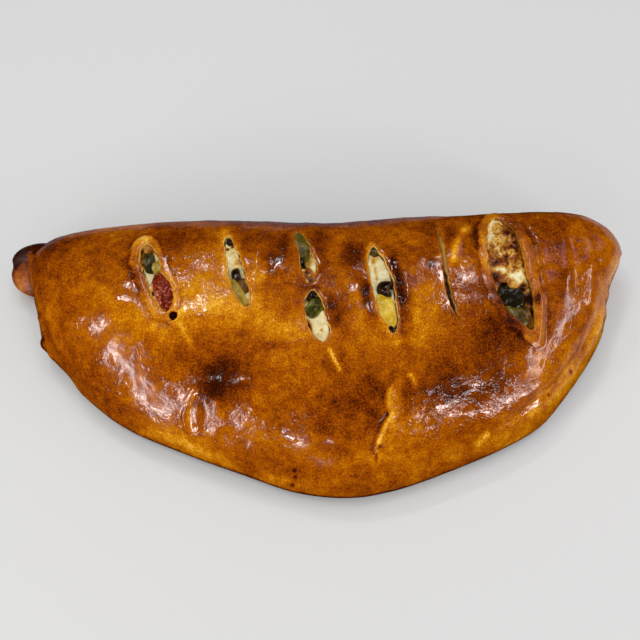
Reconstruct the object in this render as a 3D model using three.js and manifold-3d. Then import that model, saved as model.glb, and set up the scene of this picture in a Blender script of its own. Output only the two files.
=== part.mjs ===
// A baked calzone: a half moon of dough folded over a filling of cheese, peppers, olives and sausage.
// The crust is a hollow shell. Slits across its top show the filling, which runs through the whole of it.
import * as THREE from 'three';
import { mergeVertices } from 'three/addons/utils/BufferGeometryUtils.js';
import Module from 'manifold-3d';

const wasm = await Module();
wasm.setup();

// Driving dimensions, in millimetres. X runs along the fold, Y from the front seam to the fold, Z up.
// The origin lies under the middle of the calzone, on the surface that it rests on.
const CROWN = 55;              // height of the crown
const CROWN_FALL = 0.13;       // share of the height that the crown loses at CROWN_REACH from the middle
const CROWN_REACH = 92;
const SPINE_SHARE = 0.55;      // length of the crown line, as a share of the whole length
const SPINE_Y = 14;            // the crown line lies nearer to the fold than to the front seam
const WALL = 6;                // dough over the filling
const FLOOR = 6;               // dough under the filling
const FILL_SCALE = [0.9, 0.84];  // plan of the filling, as shares of the plan of the crust
const FILL_Y = 8;              // the line that the filling's plan shrinks towards
const GAP = 0.3;               // air between a piece and its neighbour
const FRONT_POWER = 1.75;      // roundness of the slope to the front seam, and of the fold
const FOLD_POWER = 2.35;
const WAVE = 0.7;              // height of the slow waves in the baked dough
const SLIT_FLOOR = 24;         // the slits are cut down to this height
const SLIT_TOP = 70;

const CRUST_SIDES = 68;        // faces round the crust, and rings from its edge to its crown
const CRUST_RINGS = 12;
const FILL_SIDES = 36;
const FILL_RINGS = 7;
const UNDER_RINGS = 2;
const LAST_RING = 0.955;       // how far up the last ring lies, where 1 is the crown line

// The widest edge of the crust, anticlockwise from its right tip: x, y, and its height over the base.
const EDGE = [
  [162.6, 56, 17], [158, 62.6, 20.5], [150.8, 68.1, 22.5], [139, 71.8, 24], [120, 72.4, 24.5],
  [96, 71.5, 25], [66, 69, 25], [36, 67, 25], [12, 64.5, 24], [-12, 65, 24], [-40, 66.5, 24],
  [-70, 67, 23], [-98, 65.3, 21], [-124, 62.4, 18.5], [-142, 59, 15.5], [-152, 52, 12], [-153, 42, 10.5],
  [-150, 30, 10.5], [-145.8, 16, 8], [-142.5, 3.5, 7], [-135, -5.5, 6.5], [-128, -12, 6],
  [-117.5, -23.5, 6], [-95, -39, 5], [-66, -51, 5], [-36, -61.5, 5], [-10, -69.8, 5], [14, -72.3, 5],
  [35, -69.5, 5], [56, -63, 5], [91, -49.3, 5], [113, -36.8, 5.5], [131, -17.5, 6], [140, -5.5, 7],
  [148.2, 8, 8], [151.5, 21, 9], [154.6, 32, 10.5], [159.8, 43, 13], [162.4, 50, 15],
];

// Slits from the fold towards the front: x, y and half width of the opening along each one.
// recess is how far the filling lies under the crust, lip the radius of the puffed dough round the cut.
const SLITS = {
  one: {
    path: [
      [-83.5, 44.5, 0.5], [-82, 36.5, 4.3], [-77.5, 25, 4.4],
      [-73, 17, 5.2], [-70.2, 10, 3.8], [-69.7, 5.5, 0.6],
    ],
    recess: 3.2,
    lip: 2.6,
  },
  two: {
    path: [
      [-44.6, 49.5, 0.3], [-42.2, 40.7, 2.5], [-39, 27.7, 3.7],
      [-36.5, 19, 4.1], [-33.5, 11.5, 3], [-32, 6.3, 0.5],
    ],
    recess: 2,
    lip: 0,
  },
  threeUpper: {
    path: [
      [-11, 51, 0.4], [-8.5, 44.6, 2.6], [-5, 34.6, 3.7],
      [-3.6, 26.5, 3.7], [-3.4, 21, 2.6], [-3.6, 17.6, 0.8],
    ],
    recess: 2.2,
    lip: 0,
  },
  threeLower: {
    path: [[-2, 15.2, 0.8], [-1.8, 10.5, 3.7], [-0.6, 2.2, 4.7], [2, -5.4, 3.9], [3.5, -10.5, 0.5]],
    recess: 2.2,
    lip: 0,
  },
  four: {
    path: [
      [26.8, 41, 0.5], [28, 31.5, 4], [30.3, 19, 5.2],
      [31.6, 9, 5], [33.6, 0.5, 3.9], [35, -6.6, 0.4],
    ],
    recess: 2.4,
    lip: 0,
  },
  five: {
    path: [[60, 54.5, 0.4], [60.1, 41, 1.3], [60.7, 25, 1.5], [62.5, 11, 1.8], [66.7, -0.6, 0.4]],
    recess: 4.5,
    lip: 0,
  },
  six: {
    path: [
      [90.5, 60, 2], [91.3, 51, 7], [91.2, 38, 9], [91.8, 25, 9.1],
      [94.9, 12.5, 8.2], [99.3, 3, 3.6], [101.5, -3, 0.6],
    ],
    recess: 2.6,
    lip: 3,
  },
};
const SLIT_STEPS = 9;
const LIP_STEPS = 24;
const LIP_SIDES = 6;
const LIP_OUT = 0.55;          // how far out of its cut a lip lies, as a share of the lip's radius
const LIP_SUNK = 0.2;          // and how far under the crust's surface
const LEAST_HALF = 0.15;       // least half width of an opening, at its pointed ends

// A round blister burst open beside the first slit.
const BLISTER = { x: -66, y: 3.6, radius: 1.9, depth: 12, sides: 10 };

// A fold in the front slope and the tear that runs on from it, with one side lifted over the other.
const TEAR = [
  [36.2, -25.9], [32.8, -29.4], [31.4, -34], [31.8, -39], [30, -44.2], [27.6, -50], [25.6, -55.5],
];
const TEAR_GAP = { radius: 1.3, aside: -0.4, lift: 0.4 };
const TEAR_LIP = { radius: 1.7, aside: 1.7, lift: -0.9 };
const TEAR_SIDES = 6;          // faces along each curve of its section

// Lumps of dough at the ends and along the seam: centre, half sizes, and turn about Z in degrees.
const LUMPS = [
  { at: [-150.5, 46.5, 10], size: [17, 14, 9.5], turn: 2 },
  { at: [-152, 54.5, 13], size: [15.5, 7.5, 8.5], turn: 10 },
  { at: [-146, 24.5, 6.5], size: [3.4, 5, 5.5], turn: 0 },
  { at: [-136.3, 3.2, 5.8], size: [10, 5, 5.6], turn: -40 },
  { at: [162.3, 55.5, 16.5], size: [4, 4, 4.2], turn: 0 },
];
const LUMP_SEGMENTS = [12, 7];

// The pieces that lie in the filling and show in the slits. Each lies at x, y of the crust over it, down
// under the crust's surface there. size is length, width and thickness; turn, tilt and roll are degrees.
const CHUNKS = [
  {
    name: 'slit_1_pepper_dark', kind: 'darkPepper', at: [-81.3, 33], down: 4.6,
    size: [12, 5.8, 4.5], turn: 105, roll: 10,
  },
  {
    name: 'slit_1_pepper_pale', kind: 'palePepper', at: [-76.4, 29.5], down: 4.6,
    size: [9, 5.5, 4], turn: 110, roll: -12,
  },
  {
    name: 'slit_1_sausage', kind: 'sausage', at: [-72.4, 17], down: 3.2,
    size: [22.5, 11, 7], turn: 112, roll: 0,
  },
  {
    name: 'slit_2_pepper_pale', kind: 'palePepper', at: [-37, 14], down: 2.8,
    size: [16.5, 6, 4.6], turn: 116, roll: -20,
  },
  {
    name: 'slit_2_pepper_brown', kind: 'brownPepper', at: [-34.2, 18], down: 3.4,
    size: [8, 4.4, 4], turn: 112, roll: 12,
  },
  {
    name: 'slit_3_pepper_upper', kind: 'darkPepper', at: [-7.4, 40], down: 3.4,
    size: [17.5, 6.6, 4.4], turn: 106, roll: 10,
  },
  {
    name: 'slit_3_pepper_lower', kind: 'greenPepper', at: [-1.2, 6.6], down: 3,
    size: [10.5, 7.6, 5], turn: 52, roll: 10,
  },
  {
    name: 'slit_4_pepper_tip', kind: 'darkPepper', at: [27.5, 37.6], down: 3.4,
    size: [6.5, 4.4, 4], turn: 118, roll: 0,
  },
  {
    name: 'slit_4_pepper_strip', kind: 'yellowPepper', at: [31.8, 5.4], down: 3.4,
    size: [18, 8.6, 5], turn: 99, roll: 6,
  },
  {
    name: 'slit_6_pepper_upper', kind: 'darkPepper', at: [92.4, 16], down: 5,
    size: [15, 10, 4], turn: 150, roll: -14,
  },
  {
    name: 'slit_6_pepper_lower', kind: 'darkPepper', at: [94.6, 7.6], down: 5,
    size: [15, 8, 4.6], turn: 118, roll: 14,
  },
  {
    name: 'slit_6_pepper_strip', kind: 'brownPepper', at: [99.8, 6.4], down: 4.2,
    size: [13, 4, 4.4], turn: 104, roll: 0,
  },
];
const CHUNK_SEGMENTS = [9, 5];
const CHUNK_BOXINESS = 0.72;
const CHUNK_ARCH = 0.12;       // how far a chunk's ends bend down, as a share of its half length

// Slices of pitted olive, as chunks, with the radius of the ring, of its hole, and its thickness.
const OLIVES = [
  {
    name: 'slit_2_olive_upper', at: [-42.4, 44.6], down: 3.6,
    ring: [3.6, 1.2, 4.2], turn: 15, tilt: 65,
  },
  {
    name: 'slit_2_olive_lower', at: [-37, 22.8], down: 5.8,
    ring: [5.4, 2.2, 4.2], turn: 17, tilt: 76,
  },
  {
    name: 'slit_3_olive_upper', at: [-6.4, 30.5], down: 4.8,
    ring: [3.6, 1.5, 3], turn: 10, tilt: 72,
  },
  {
    name: 'slit_3_olive_lower', at: [-1.9, 12.4], down: 4,
    ring: [3.3, 1.1, 4.4], turn: 30, tilt: 58,
  },
  {
    name: 'slit_4_olive_middle', at: [32.4, 16.4], down: 4.4,
    ring: [4.4, 1.3, 6.4], turn: -20, tilt: 60,
  },
  {
    name: 'slit_4_olive_lower', at: [34.2, -2.4], down: 3.8,
    ring: [2.8, 0.9, 3.4], turn: 20, tilt: 50,
  },
];
const OLIVE_SEGMENTS = 10;
const OLIVE_EDGE = 0.3;        // half height of the ring's sides, as a share of its thickness

// Bubbles and curds of the melted cheese: centre over the plan, radius, and depth under the crust.
const CURDS = [
  [90, 54, 5.5, 3.4], [95.5, 47, 5, 3.2], [87.5, 44, 4.6, 3], [93, 38, 6, 3.8], [89, 31, 5, 3.4],
  [96, 27, 5.6, 3.4], [29.2, 29, 4, 3], [1, -3, 4.2, 3.2],
];
const CURD_FLATNESS = 0.5;     // height of a curd, as a share of its width
const REACH = 1.5;             // how far pieces may rise over the cheese
const OPEN_OVER = 8;           // height over a piece that the cheese leaves open
const TONGUE_OVER = 70;        // plan size over which the gap round the filling is shared out
const LEAST_FOOT = 1.5;        // least height of an edge over its base
const FINDER_HEIGHT = 2 * CROWN;
const TABLE = [400, 200, 100]; // a block over the base that holds the whole calzone

// Colours of the dough and of what it holds.
const FINISHES = {
  crust: { color: 0x9c5410, roughness: 0.4 },
  cheese: { color: 0xe3d59b, roughness: 0.5 },
  darkPepper: { color: 0x3e4018, roughness: 0.35 },
  greenPepper: { color: 0x4d5c14, roughness: 0.35 },
  palePepper: { color: 0xa7a062, roughness: 0.4 },
  yellowPepper: { color: 0xc4b44a, roughness: 0.35 },
  brownPepper: { color: 0x6e4f1a, roughness: 0.4 },
  sausage: { color: 0x84200f, roughness: 0.35 },
  olive: { color: 0x241510, roughness: 0.3 },
};

function smoothstep(from, to, value) {
  return THREE.MathUtils.smoothstep(value, from, to);
}

// Makes a solid for joining and cutting from closed geometry.
function solidOf(geometry) {
  const bare = geometry.clone();
  bare.deleteAttribute('normal');
  bare.deleteAttribute('uv');
  const merged = mergeVertices(bare, 1e-4);
  return new wasm.Manifold(new wasm.Mesh({
    numProp: 3,
    vertProperties: new Float32Array(merged.attributes.position.array),
    triVerts: new Uint32Array(merged.index.array),
  }));
}

// The named mesh of a solid, in its finish.
function meshOf(name, solid, finish) {
  const { vertProperties, triVerts } = solid.getMesh();
  const geometry = new THREE.BufferGeometry();
  geometry.setAttribute('position', new THREE.BufferAttribute(new Float32Array(vertProperties), 3));
  geometry.setIndex(new THREE.BufferAttribute(new Uint32Array(triVerts), 1));
  geometry.computeVertexNormals();
  const mesh = new THREE.Mesh(geometry, new THREE.MeshStandardMaterial({ metalness: 0, ...finish }));
  mesh.name = name;
  return mesh;
}

function joined(solids) {
  return solids.reduce((sum, solid) => sum.add(solid));
}

// The largest body of a solid, without the scraps that cutting leaves.
function mainBody(solid) {
  return solid.decompose().reduce((best, body) => (body.volume() > best.volume() ? body : best));
}

// Evenly spaced points round the widest edge, each with its height, drawn in to the plan of a layer.
function edgePoints(sides, [scaleX, scaleY]) {
  const corners = EDGE.map((row) => new THREE.Vector3(...row));
  const curve = new THREE.CatmullRomCurve3(corners, true, 'catmullrom');
  return curve.getSpacedPoints(sides).slice(0, sides).map(
    (p) => new THREE.Vector3(p.x * scaleX, FILL_Y + (p.y - FILL_Y) * scaleY, p.z),
  );
}

// Height of the crown line at a place along the length.
function crownHeight(x) {
  return CROWN * (1 - CROWN_FALL * Math.abs(x / CROWN_REACH) ** 2.2);
}

// Slow waves in the baked surface, gone at the edge and on the underside.
function waveHeight(x, y) {
  return WAVE * (Math.sin(x / 17 + 0.6) * Math.cos(y / 13 + 0.4) + 0.6 * Math.sin(x / 9.5 - y / 12));
}

// Rings of points from the base, round the edge and up to the crown line.
// drop lowers the crown, floor is the height of the base, and waves says how much of the waves it has.
function formRings({ sides, rings, scale, drop, floor, waves }) {
  const edge = edgePoints(sides, scale);
  const under = [];
  for (let k = UNDER_RINGS; k >= 1; k -= 1) {
    const angle = (k / UNDER_RINGS) * Math.PI / 2;
    under.push(edge.map((p) => {
      const edgeRise = Math.max(p.z - floor, LEAST_FOOT);
      const inset = edgeRise * (1 - Math.cos(angle)) / Math.hypot(p.x * (1 - SPINE_SHARE), p.y - SPINE_Y);
      return new THREE.Vector3(
        p.x * (1 - inset * (1 - SPINE_SHARE)),
        p.y + (SPINE_Y - p.y) * inset,
        floor + edgeRise * (1 - Math.sin(angle)),
      );
    }));
  }
  const over = [];
  for (let k = 0; k < rings; k += 1) {
    const angle = (k / (rings - 1)) * LAST_RING * Math.PI / 2;
    over.push(edge.map((p) => {
      const power = FRONT_POWER + (FOLD_POWER - FRONT_POWER) * smoothstep(-20, 50, p.y);
      const out = Math.cos(angle) ** (2 / power);
      const rise = Math.sin(angle) ** (2 / power);
      const x = p.x * (out + SPINE_SHARE * (1 - out));
      const y = SPINE_Y + (p.y - SPINE_Y) * out;
      const foot = Math.max(p.z, floor + LEAST_FOOT);
      const top = crownHeight(p.x * SPINE_SHARE) - drop;
      return new THREE.Vector3(x, y, foot + (top - foot) * rise + waves * rise * waveHeight(x, y));
    }));
  }
  return [...under, ...over];
}

// Faces that fill a ring, joining its front and back halves rung by rung from the left end to the right.
function capFaces(ring) {
  const sides = ring.length;
  const xs = ring.map((p) => p.x);
  const left = xs.indexOf(Math.min(...xs));
  const right = xs.indexOf(Math.max(...xs));
  const faces = [];
  let front = left;
  let back = left;
  while (front !== right || back !== right) {
    const nextFront = (front + 1) % sides;
    const nextBack = (back + sides - 1) % sides;
    if (back === right || (front !== right && xs[nextFront] < xs[nextBack])) {
      faces.push([front, nextFront, back]);
      front = nextFront;
    } else {
      faces.push([front, nextBack, back]);
      back = nextBack;
    }
  }
  return faces;
}

// Closed geometry over rings of points, with the first and the last ring filled in.
function ringGeometry(rings) {
  const sides = rings[0].length;
  const points = rings.flat();
  const faces = [];
  for (let r = 0; r + 1 < rings.length; r += 1) {
    for (let i = 0; i < sides; i += 1) {
      const a = r * sides + i;
      const b = r * sides + (i + 1) % sides;
      faces.push(a, b, b + sides, a, b + sides, a + sides);
    }
  }
  capFaces(rings[0]).forEach(([a, b, c]) => faces.push(a, c, b));
  const last = (rings.length - 1) * sides;
  capFaces(rings[rings.length - 1]).forEach(([a, b, c]) => faces.push(last + a, last + b, last + c));
  const geometry = new THREE.BufferGeometry().setFromPoints(points);
  geometry.setIndex(faces);
  return geometry;
}

function crustForm(sides = CRUST_SIDES, rings = CRUST_RINGS) {
  return ringGeometry(formRings({ sides, rings, scale: [1, 1], drop: 0, floor: 0, waves: 1 }));
}

// The hollow in the crust, or with a gap the filling that lies in it.
function fillForm(gap) {
  const [scaleX, scaleY] = FILL_SCALE;
  const shrink = gap / TONGUE_OVER;
  return ringGeometry(formRings({
    sides: FILL_SIDES,
    rings: FILL_RINGS,
    scale: [scaleX - shrink, scaleY - shrink],
    drop: WALL + gap,
    floor: FLOOR + gap,
    waves: 0,
  }));
}

const crustSkin = new THREE.Mesh(crustForm(), new THREE.MeshBasicMaterial());
crustSkin.updateMatrixWorld();

// Height of the crust's top surface over a place in the plan.
function skinHeight(x, y) {
  const ray = new THREE.Raycaster(new THREE.Vector3(x, y, FINDER_HEIGHT), new THREE.Vector3(0, 0, -1));
  return ray.intersectObject(crustSkin)[0].point.z;
}

// Points down the middle of a slit, with the half width there and the direction across it.
function slitStations(slit, steps) {
  const curve = new THREE.CatmullRomCurve3(slit.path.map((row) => new THREE.Vector3(...row)));
  return Array.from({ length: steps + 1 }, (_, i) => {
    const at = curve.getPoint(i / steps);
    const along = curve.getTangent(i / steps).setZ(0).normalize();
    return { at, half: at.z, across: new THREE.Vector2(along.y, -along.x) };
  });
}

// The closed plan outline of a slit, moved out by a margin, or in by a negative one.
function slitOutline(slit, margin, steps = SLIT_STEPS) {
  const stations = slitStations(slit, steps);
  const side = (sign) => ({ at, half, across }) => {
    const reach = sign * Math.max(half + margin, LEAST_HALF);
    return new THREE.Vector2(at.x + across.x * reach, at.y + across.y * reach);
  };
  return [...stations.map(side(-1)), ...stations.reverse().map(side(1))];
}

// An upright prism over the slit's outline.
function slitPrism(slit, margin, floor) {
  const shape = new THREE.Shape(slitOutline(slit, margin));
  const geometry = new THREE.ExtrudeGeometry(shape, { depth: SLIT_TOP - floor, bevelEnabled: false });
  return solidOf(geometry.translate(0, 0, floor));
}

// A closed loop of round dough laid round a slit, half sunk in the crust.
function slitLip(slit) {
  const loop = new THREE.CatmullRomCurve3(
    slitOutline(slit, LIP_OUT * slit.lip).map(
      (p) => new THREE.Vector3(p.x, p.y, skinHeight(p.x, p.y) - LIP_SUNK * slit.lip),
    ),
    true,
  );
  const rings = Array.from({ length: LIP_STEPS }, (_, i) => {
    const centre = loop.getPointAt(i / LIP_STEPS);
    const out = loop.getTangentAt(i / LIP_STEPS).cross(new THREE.Vector3(0, 0, 1)).normalize();
    return Array.from({ length: LIP_SIDES }, (__, k) => {
      const angle = (k / LIP_SIDES) * 2 * Math.PI;
      return centre.clone()
        .addScaledVector(out, slit.lip * Math.cos(angle))
        .setZ(centre.z + slit.lip * Math.sin(angle));
    });
  });
  const faces = [];
  for (let i = 0; i < LIP_STEPS; i += 1) {
    for (let k = 0; k < LIP_SIDES; k += 1) {
      const a = i * LIP_SIDES + k;
      const b = i * LIP_SIDES + (k + 1) % LIP_SIDES;
      const c = ((i + 1) % LIP_STEPS) * LIP_SIDES + (k + 1) % LIP_SIDES;
      const d = ((i + 1) % LIP_STEPS) * LIP_SIDES + k;
      faces.push(a, c, b, a, d, c);
    }
  }
  const geometry = new THREE.BufferGeometry().setFromPoints(rings.flat());
  geometry.setIndex(faces);
  return solidOf(geometry);
}

// A round rod along a line of plan points, at a height over the crust.
function rodOnSkin(line, { radius, aside, lift }) {
  const path = new THREE.CatmullRomCurve3(
    line.map(([x, y]) => new THREE.Vector3(x + aside, y, skinHeight(x + aside, y) + lift)),
  );
  const section = new THREE.Shape();
  section.absarc(0, 0, radius, 0, 2 * Math.PI);
  return solidOf(new THREE.ExtrudeGeometry(section, {
    steps: 2 * line.length, curveSegments: TEAR_SIDES, extrudePath: path,
  }));
}

function lump({ at, size, turn }) {
  const geometry = new THREE.SphereGeometry(1, ...LUMP_SEGMENTS);
  geometry.scale(...size);
  geometry.rotateZ(THREE.MathUtils.degToRad(turn));
  return solidOf(geometry.translate(...at));
}

// The space that lies above the base, to trim what is fused on low down.
function aboveBase() {
  return solidOf(new THREE.BoxGeometry(...TABLE).translate(0, 0, TABLE[2] / 2));
}

function crustSolid() {
  const slits = Object.values(SLITS);
  const { radius, depth, sides } = BLISTER;
  const blister = new THREE.CylinderGeometry(radius, radius, 2 * depth, sides);
  blister.rotateX(Math.PI / 2);
  blister.translate(BLISTER.x, BLISTER.y, skinHeight(BLISTER.x, BLISTER.y));
  return joined([
    solidOf(crustForm()),
    ...LUMPS.map(lump),
    ...slits.filter((slit) => slit.lip > 0).map(slitLip),
    rodOnSkin(TEAR, TEAR_LIP),
  ])
    .intersect(aboveBase())
    .subtract(solidOf(fillForm(0)))
    .subtract(joined(slits.map((slit) => slitPrism(slit, 0, SLIT_FLOOR))))
    .subtract(solidOf(blister))
    .subtract(rodOnSkin(TEAR, TEAR_GAP));
}

// The filling's whole space: the core, and a tongue up into each slit, lowered by its recess.
function fillingSpace(extra) {
  const tongues = Object.values(SLITS).map((slit) => {
    const lowered = crustForm(FILL_SIDES, FILL_RINGS).translate(0, 0, extra - slit.recess);
    return slitPrism(slit, -GAP, SLIT_FLOOR + GAP).intersect(solidOf(lowered));
  });
  return joined([solidOf(fillForm(GAP)), ...tongues]);
}

// Turns a piece and sets it under the crust's surface.
function settle(geometry, piece) {
  geometry.rotateX(THREE.MathUtils.degToRad(piece.roll ?? 0));
  geometry.rotateY(THREE.MathUtils.degToRad(piece.tilt ?? 0));
  geometry.rotateZ(THREE.MathUtils.degToRad(piece.turn));
  const [x, y] = piece.at;
  return solidOf(geometry.translate(x, y, skinHeight(x, y) - piece.down));
}

// A soft-cornered chunk of vegetable or meat, arched along its length, grown all round by a margin.
function chunk(piece, margin) {
  const geometry = new THREE.SphereGeometry(1, ...CHUNK_SEGMENTS);
  const [length, width, thick] = piece.size.map((side) => side / 2 + margin);
  const position = geometry.attributes.position;
  for (let i = 0; i < position.count; i += 1) {
    const [x, y, z] = [position.getX(i), position.getY(i), position.getZ(i)].map(
      (v) => Math.sign(v) * Math.abs(v) ** CHUNK_BOXINESS,
    );
    position.setXYZ(i, x * length, y * width, z * thick - CHUNK_ARCH * length * x * x);
  }
  return settle(geometry, piece);
}

// A slice of pitted olive: a ring with rounded corners.
function oliveSlice(piece, margin) {
  const [outer, hole, thick] = piece.ring;
  const [inside, middle, outside] = [hole - margin, (hole + outer) / 2, outer + margin];
  const [edge, face] = [OLIVE_EDGE * thick + margin, thick / 2 + margin];
  const profile = [
    [inside, -edge], [middle, -face], [outside, -edge], [outside, edge], [middle, face], [inside, edge],
    [inside, -edge],
  ].map(([r, z]) => new THREE.Vector2(r, z));
  const geometry = new THREE.LatheGeometry(profile, OLIVE_SEGMENTS);
  return settle(geometry.rotateX(Math.PI / 2), piece);
}

// Rounded curds that lift the cheese where it shows, kept inside the filling's own space.
function curds(space) {
  return joined(CURDS.map(([x, y, radius, down]) => {
    const ball = new THREE.IcosahedronGeometry(radius, 1);
    ball.scale(1, 1, CURD_FLATNESS);
    return solidOf(ball.translate(x, y, skinHeight(x, y) - down));
  })).intersect(space);
}

// A piece and the air over it, which the cheese leaves open so that the piece shows.
function openOver(solid) {
  return wasm.Manifold.hull([solid, solid.translate(0, 0, OPEN_OVER)]);
}

const PIECES = [
  ...CHUNKS.map((piece) => ({ ...piece, shape: chunk })),
  ...OLIVES.map((piece) => ({ ...piece, kind: 'olive', shape: oliveSlice })),
];

const calzone = new THREE.Group();
calzone.add(meshOf('crust', crustSolid(), FINISHES.crust));

// Pieces are trimmed to the filling's space and to each other, and the cheese takes what is left.
const reach = fillingSpace(REACH);
let cheese = fillingSpace(0).add(curds(reach));
let free = reach;
PIECES.forEach((piece) => {
  const solid = mainBody(piece.shape(piece, 0).intersect(free));
  const grown = piece.shape(piece, GAP);
  free = free.subtract(grown);
  cheese = cheese.subtract(openOver(grown));
  calzone.add(meshOf(piece.name, solid, FINISHES[piece.kind]));
});
cheese = mainBody(cheese);
calzone.add(meshOf('cheese_filling', cheese, FINISHES.cheese));

export default calzone;
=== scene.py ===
"""The looks of a baked calzone: a glazed and slashed crust, and the filling that shows in its cuts.

Sizes are in millimetres, in the frame of the solids. They become metres when a mesh takes its points.
X runs along the fold, Y from the front seam to the fold, and Z up from the surface that it rests on.
"""

import logging
import math
from collections.abc import Callable
from dataclasses import dataclass
from enum import Enum
from itertools import product

import bpy
import numpy as np
from mathutils import Matrix
from mathutils.bvhtree import BVHTree


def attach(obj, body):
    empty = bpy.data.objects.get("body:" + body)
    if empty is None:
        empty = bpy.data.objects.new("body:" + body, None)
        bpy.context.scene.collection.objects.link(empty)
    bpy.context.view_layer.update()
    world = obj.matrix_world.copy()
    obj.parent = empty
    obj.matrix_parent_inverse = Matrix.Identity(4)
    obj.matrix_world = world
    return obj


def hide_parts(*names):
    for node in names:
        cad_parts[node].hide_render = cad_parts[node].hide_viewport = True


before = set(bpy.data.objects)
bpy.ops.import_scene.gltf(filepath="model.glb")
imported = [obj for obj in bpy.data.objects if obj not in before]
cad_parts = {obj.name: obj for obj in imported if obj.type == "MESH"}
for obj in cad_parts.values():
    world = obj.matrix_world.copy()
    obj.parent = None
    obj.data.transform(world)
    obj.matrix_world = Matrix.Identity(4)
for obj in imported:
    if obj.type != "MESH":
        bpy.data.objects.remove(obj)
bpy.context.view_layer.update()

MM = 0.001
BODY = "root"
LOG = logging.getLogger("calzone")

Pair = tuple[float, float]
Triple = tuple[float, float, float]
Rows = tuple[tuple[float, ...], ...]
Inputs = dict[str | int, object]
Array = np.ndarray
Node = bpy.types.Node
Piece = bpy.types.Object


# ---- Handwork: small steps that every piece shares ---------------


def to_linear(code: str) -> tuple[float, float, float, float]:
    """Turns an sRGB hex colour into linear light.

    Args:
        code: Six hex digits.

    Returns:
        Linear red, green, blue and a full alpha.
    """
    parts = [int(code[i : i + 2], 16) / 255 for i in (0, 2, 4)]
    light = [p / 12.92 if p <= 0.04045 else ((p + 0.055) / 1.055) ** 2.4 for p in parts]
    return (light[0], light[1], light[2], 1.0)


def smoothstep(low: float, high: float, values: Array) -> Array:
    """Eases each value from 0 at low to 1 at high."""
    share = np.clip((values - low) / (high - low), 0, 1)
    return share * share * (3 - 2 * share)


def plug(tree: bpy.types.NodeTree, node: Node, inputs: Inputs) -> None:
    """Sets a node's inputs, and links those that another node feeds.

    Args:
        tree: The tree that holds the node.
        node: The node.
        inputs: By name or number, a value, an output socket, or a node that gives its first output.
    """
    for key, value in inputs.items():
        source = value.outputs[0] if isinstance(value, Node) else value
        if isinstance(source, bpy.types.NodeSocket):
            tree.links.new(source, node.inputs[key])
        else:
            node.inputs[key].default_value = source


def pick_only(piece: Piece) -> None:
    """Deselects everything and makes one piece selected and active.

    Args:
        piece: The piece that the next operator acts on.
    """
    bpy.ops.object.select_all(action="DESELECT")
    piece.select_set(True)
    bpy.context.view_layer.objects.active = piece


def add_piece(primitive: Callable[..., set[str]], **settings: object) -> Piece:
    """Adds a primitive with nothing else selected.

    Args:
        primitive: The operator that adds it.
        settings: What the operator is given.

    Returns:
        The new piece.
    """
    bpy.ops.object.select_all(action="DESELECT")
    primitive(**settings)
    return bpy.context.object


def finish_with(piece: Piece, kind: str, **settings: object) -> None:
    """Adds a modifier and applies it.

    Args:
        piece: The piece that gets the modifier.
        kind: The modifier's type name.
        settings: Attributes to set on the modifier.
    """
    modifier = piece.modifiers.new(kind.lower(), kind)
    for key, value in settings.items():
        setattr(modifier, key, value)
    pick_only(piece)
    bpy.ops.object.modifier_apply(modifier=modifier.name)


def remesh(piece: Piece, voxel: float, smoothing: int) -> None:
    """Wraps a piece in an even mesh and smooths it."""
    finish_with(piece, "REMESH", mode="VOXEL", voxel_size=voxel * MM)
    finish_with(piece, "SMOOTH", factor=0.5, iterations=smoothing)


def combine(piece: Piece, tool: Piece, operation: str) -> None:
    """Cuts a closed tool out of a piece, or keeps or adds it, and uses it up."""
    finish_with(piece, "BOOLEAN", operation=operation, object=tool, solver="MANIFOLD")
    drop_object(tool)


def drop_object(piece: Piece) -> None:
    """Deletes a helper piece and its mesh.

    Args:
        piece: The piece to delete.
    """
    mesh = piece.data
    bpy.data.objects.remove(piece)
    bpy.data.meshes.remove(mesh)


def join(pieces: list[Piece]) -> Piece:
    """Joins pieces into the first one.

    Args:
        pieces: Mesh pieces.

    Returns:
        The first piece, with the others in its mesh.
    """
    pick_only(pieces[0])
    for piece in pieces[1:]:
        piece.select_set(True)
    bpy.ops.object.join()
    return pieces[0]


def weld(piece: Piece, gap: float = 0.002) -> None:
    """Merges points that coincide and turns the faces outwards.

    Args:
        piece: A mesh piece.
        gap: How close points are that merge.
    """
    pick_only(piece)
    bpy.ops.object.mode_set(mode="EDIT")
    bpy.ops.mesh.select_all(action="SELECT")
    bpy.ops.mesh.remove_doubles(threshold=gap * MM)
    bpy.ops.mesh.normals_make_consistent(inside=False)
    bpy.ops.object.mode_set(mode="OBJECT")


def read_rows(items: bpy.types.bpy_prop_collection, name: str) -> Array:
    """Reads three numbers from each item of a mesh.

    Args:
        items: The mesh's points or normals.
        name: The property to read.

    Returns:
        One row for each item.
    """
    flat = np.empty(len(items) * 3, np.float32)
    items.foreach_get(name, flat)
    return flat.reshape(-1, 3).astype(float)


def points_of(piece: Piece) -> Array:
    """Reads the x, y and z of each point of a mesh, in millimetres."""
    return read_rows(piece.data.vertices, "co") / MM


def normals_of(piece: Piece) -> Array:
    """Reads the direction that the skin faces at each point of a mesh."""
    return read_rows(piece.data.vertex_normals, "vector")


def set_points(piece: Piece, points: Array) -> None:
    """Moves the points of a mesh to rows of x, y and z in millimetres."""
    piece.data.vertices.foreach_set("co", (points * MM).astype(np.float32).ravel())
    piece.data.update()


def push_out(piece: Piece, lift: Array, low: float, high: float) -> None:
    """Moves points outwards where the skin faces up.

    Args:
        piece: A mesh piece.
        lift: How far each point moves.
        low: The normal's z from which points begin to move.
        high: The normal's z from which they move by all of the lift.
    """
    normals = normals_of(piece)
    lift = lift * smoothstep(low, high, normals[:, 2])
    set_points(piece, points_of(piece) + normals * lift[:, None])


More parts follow.
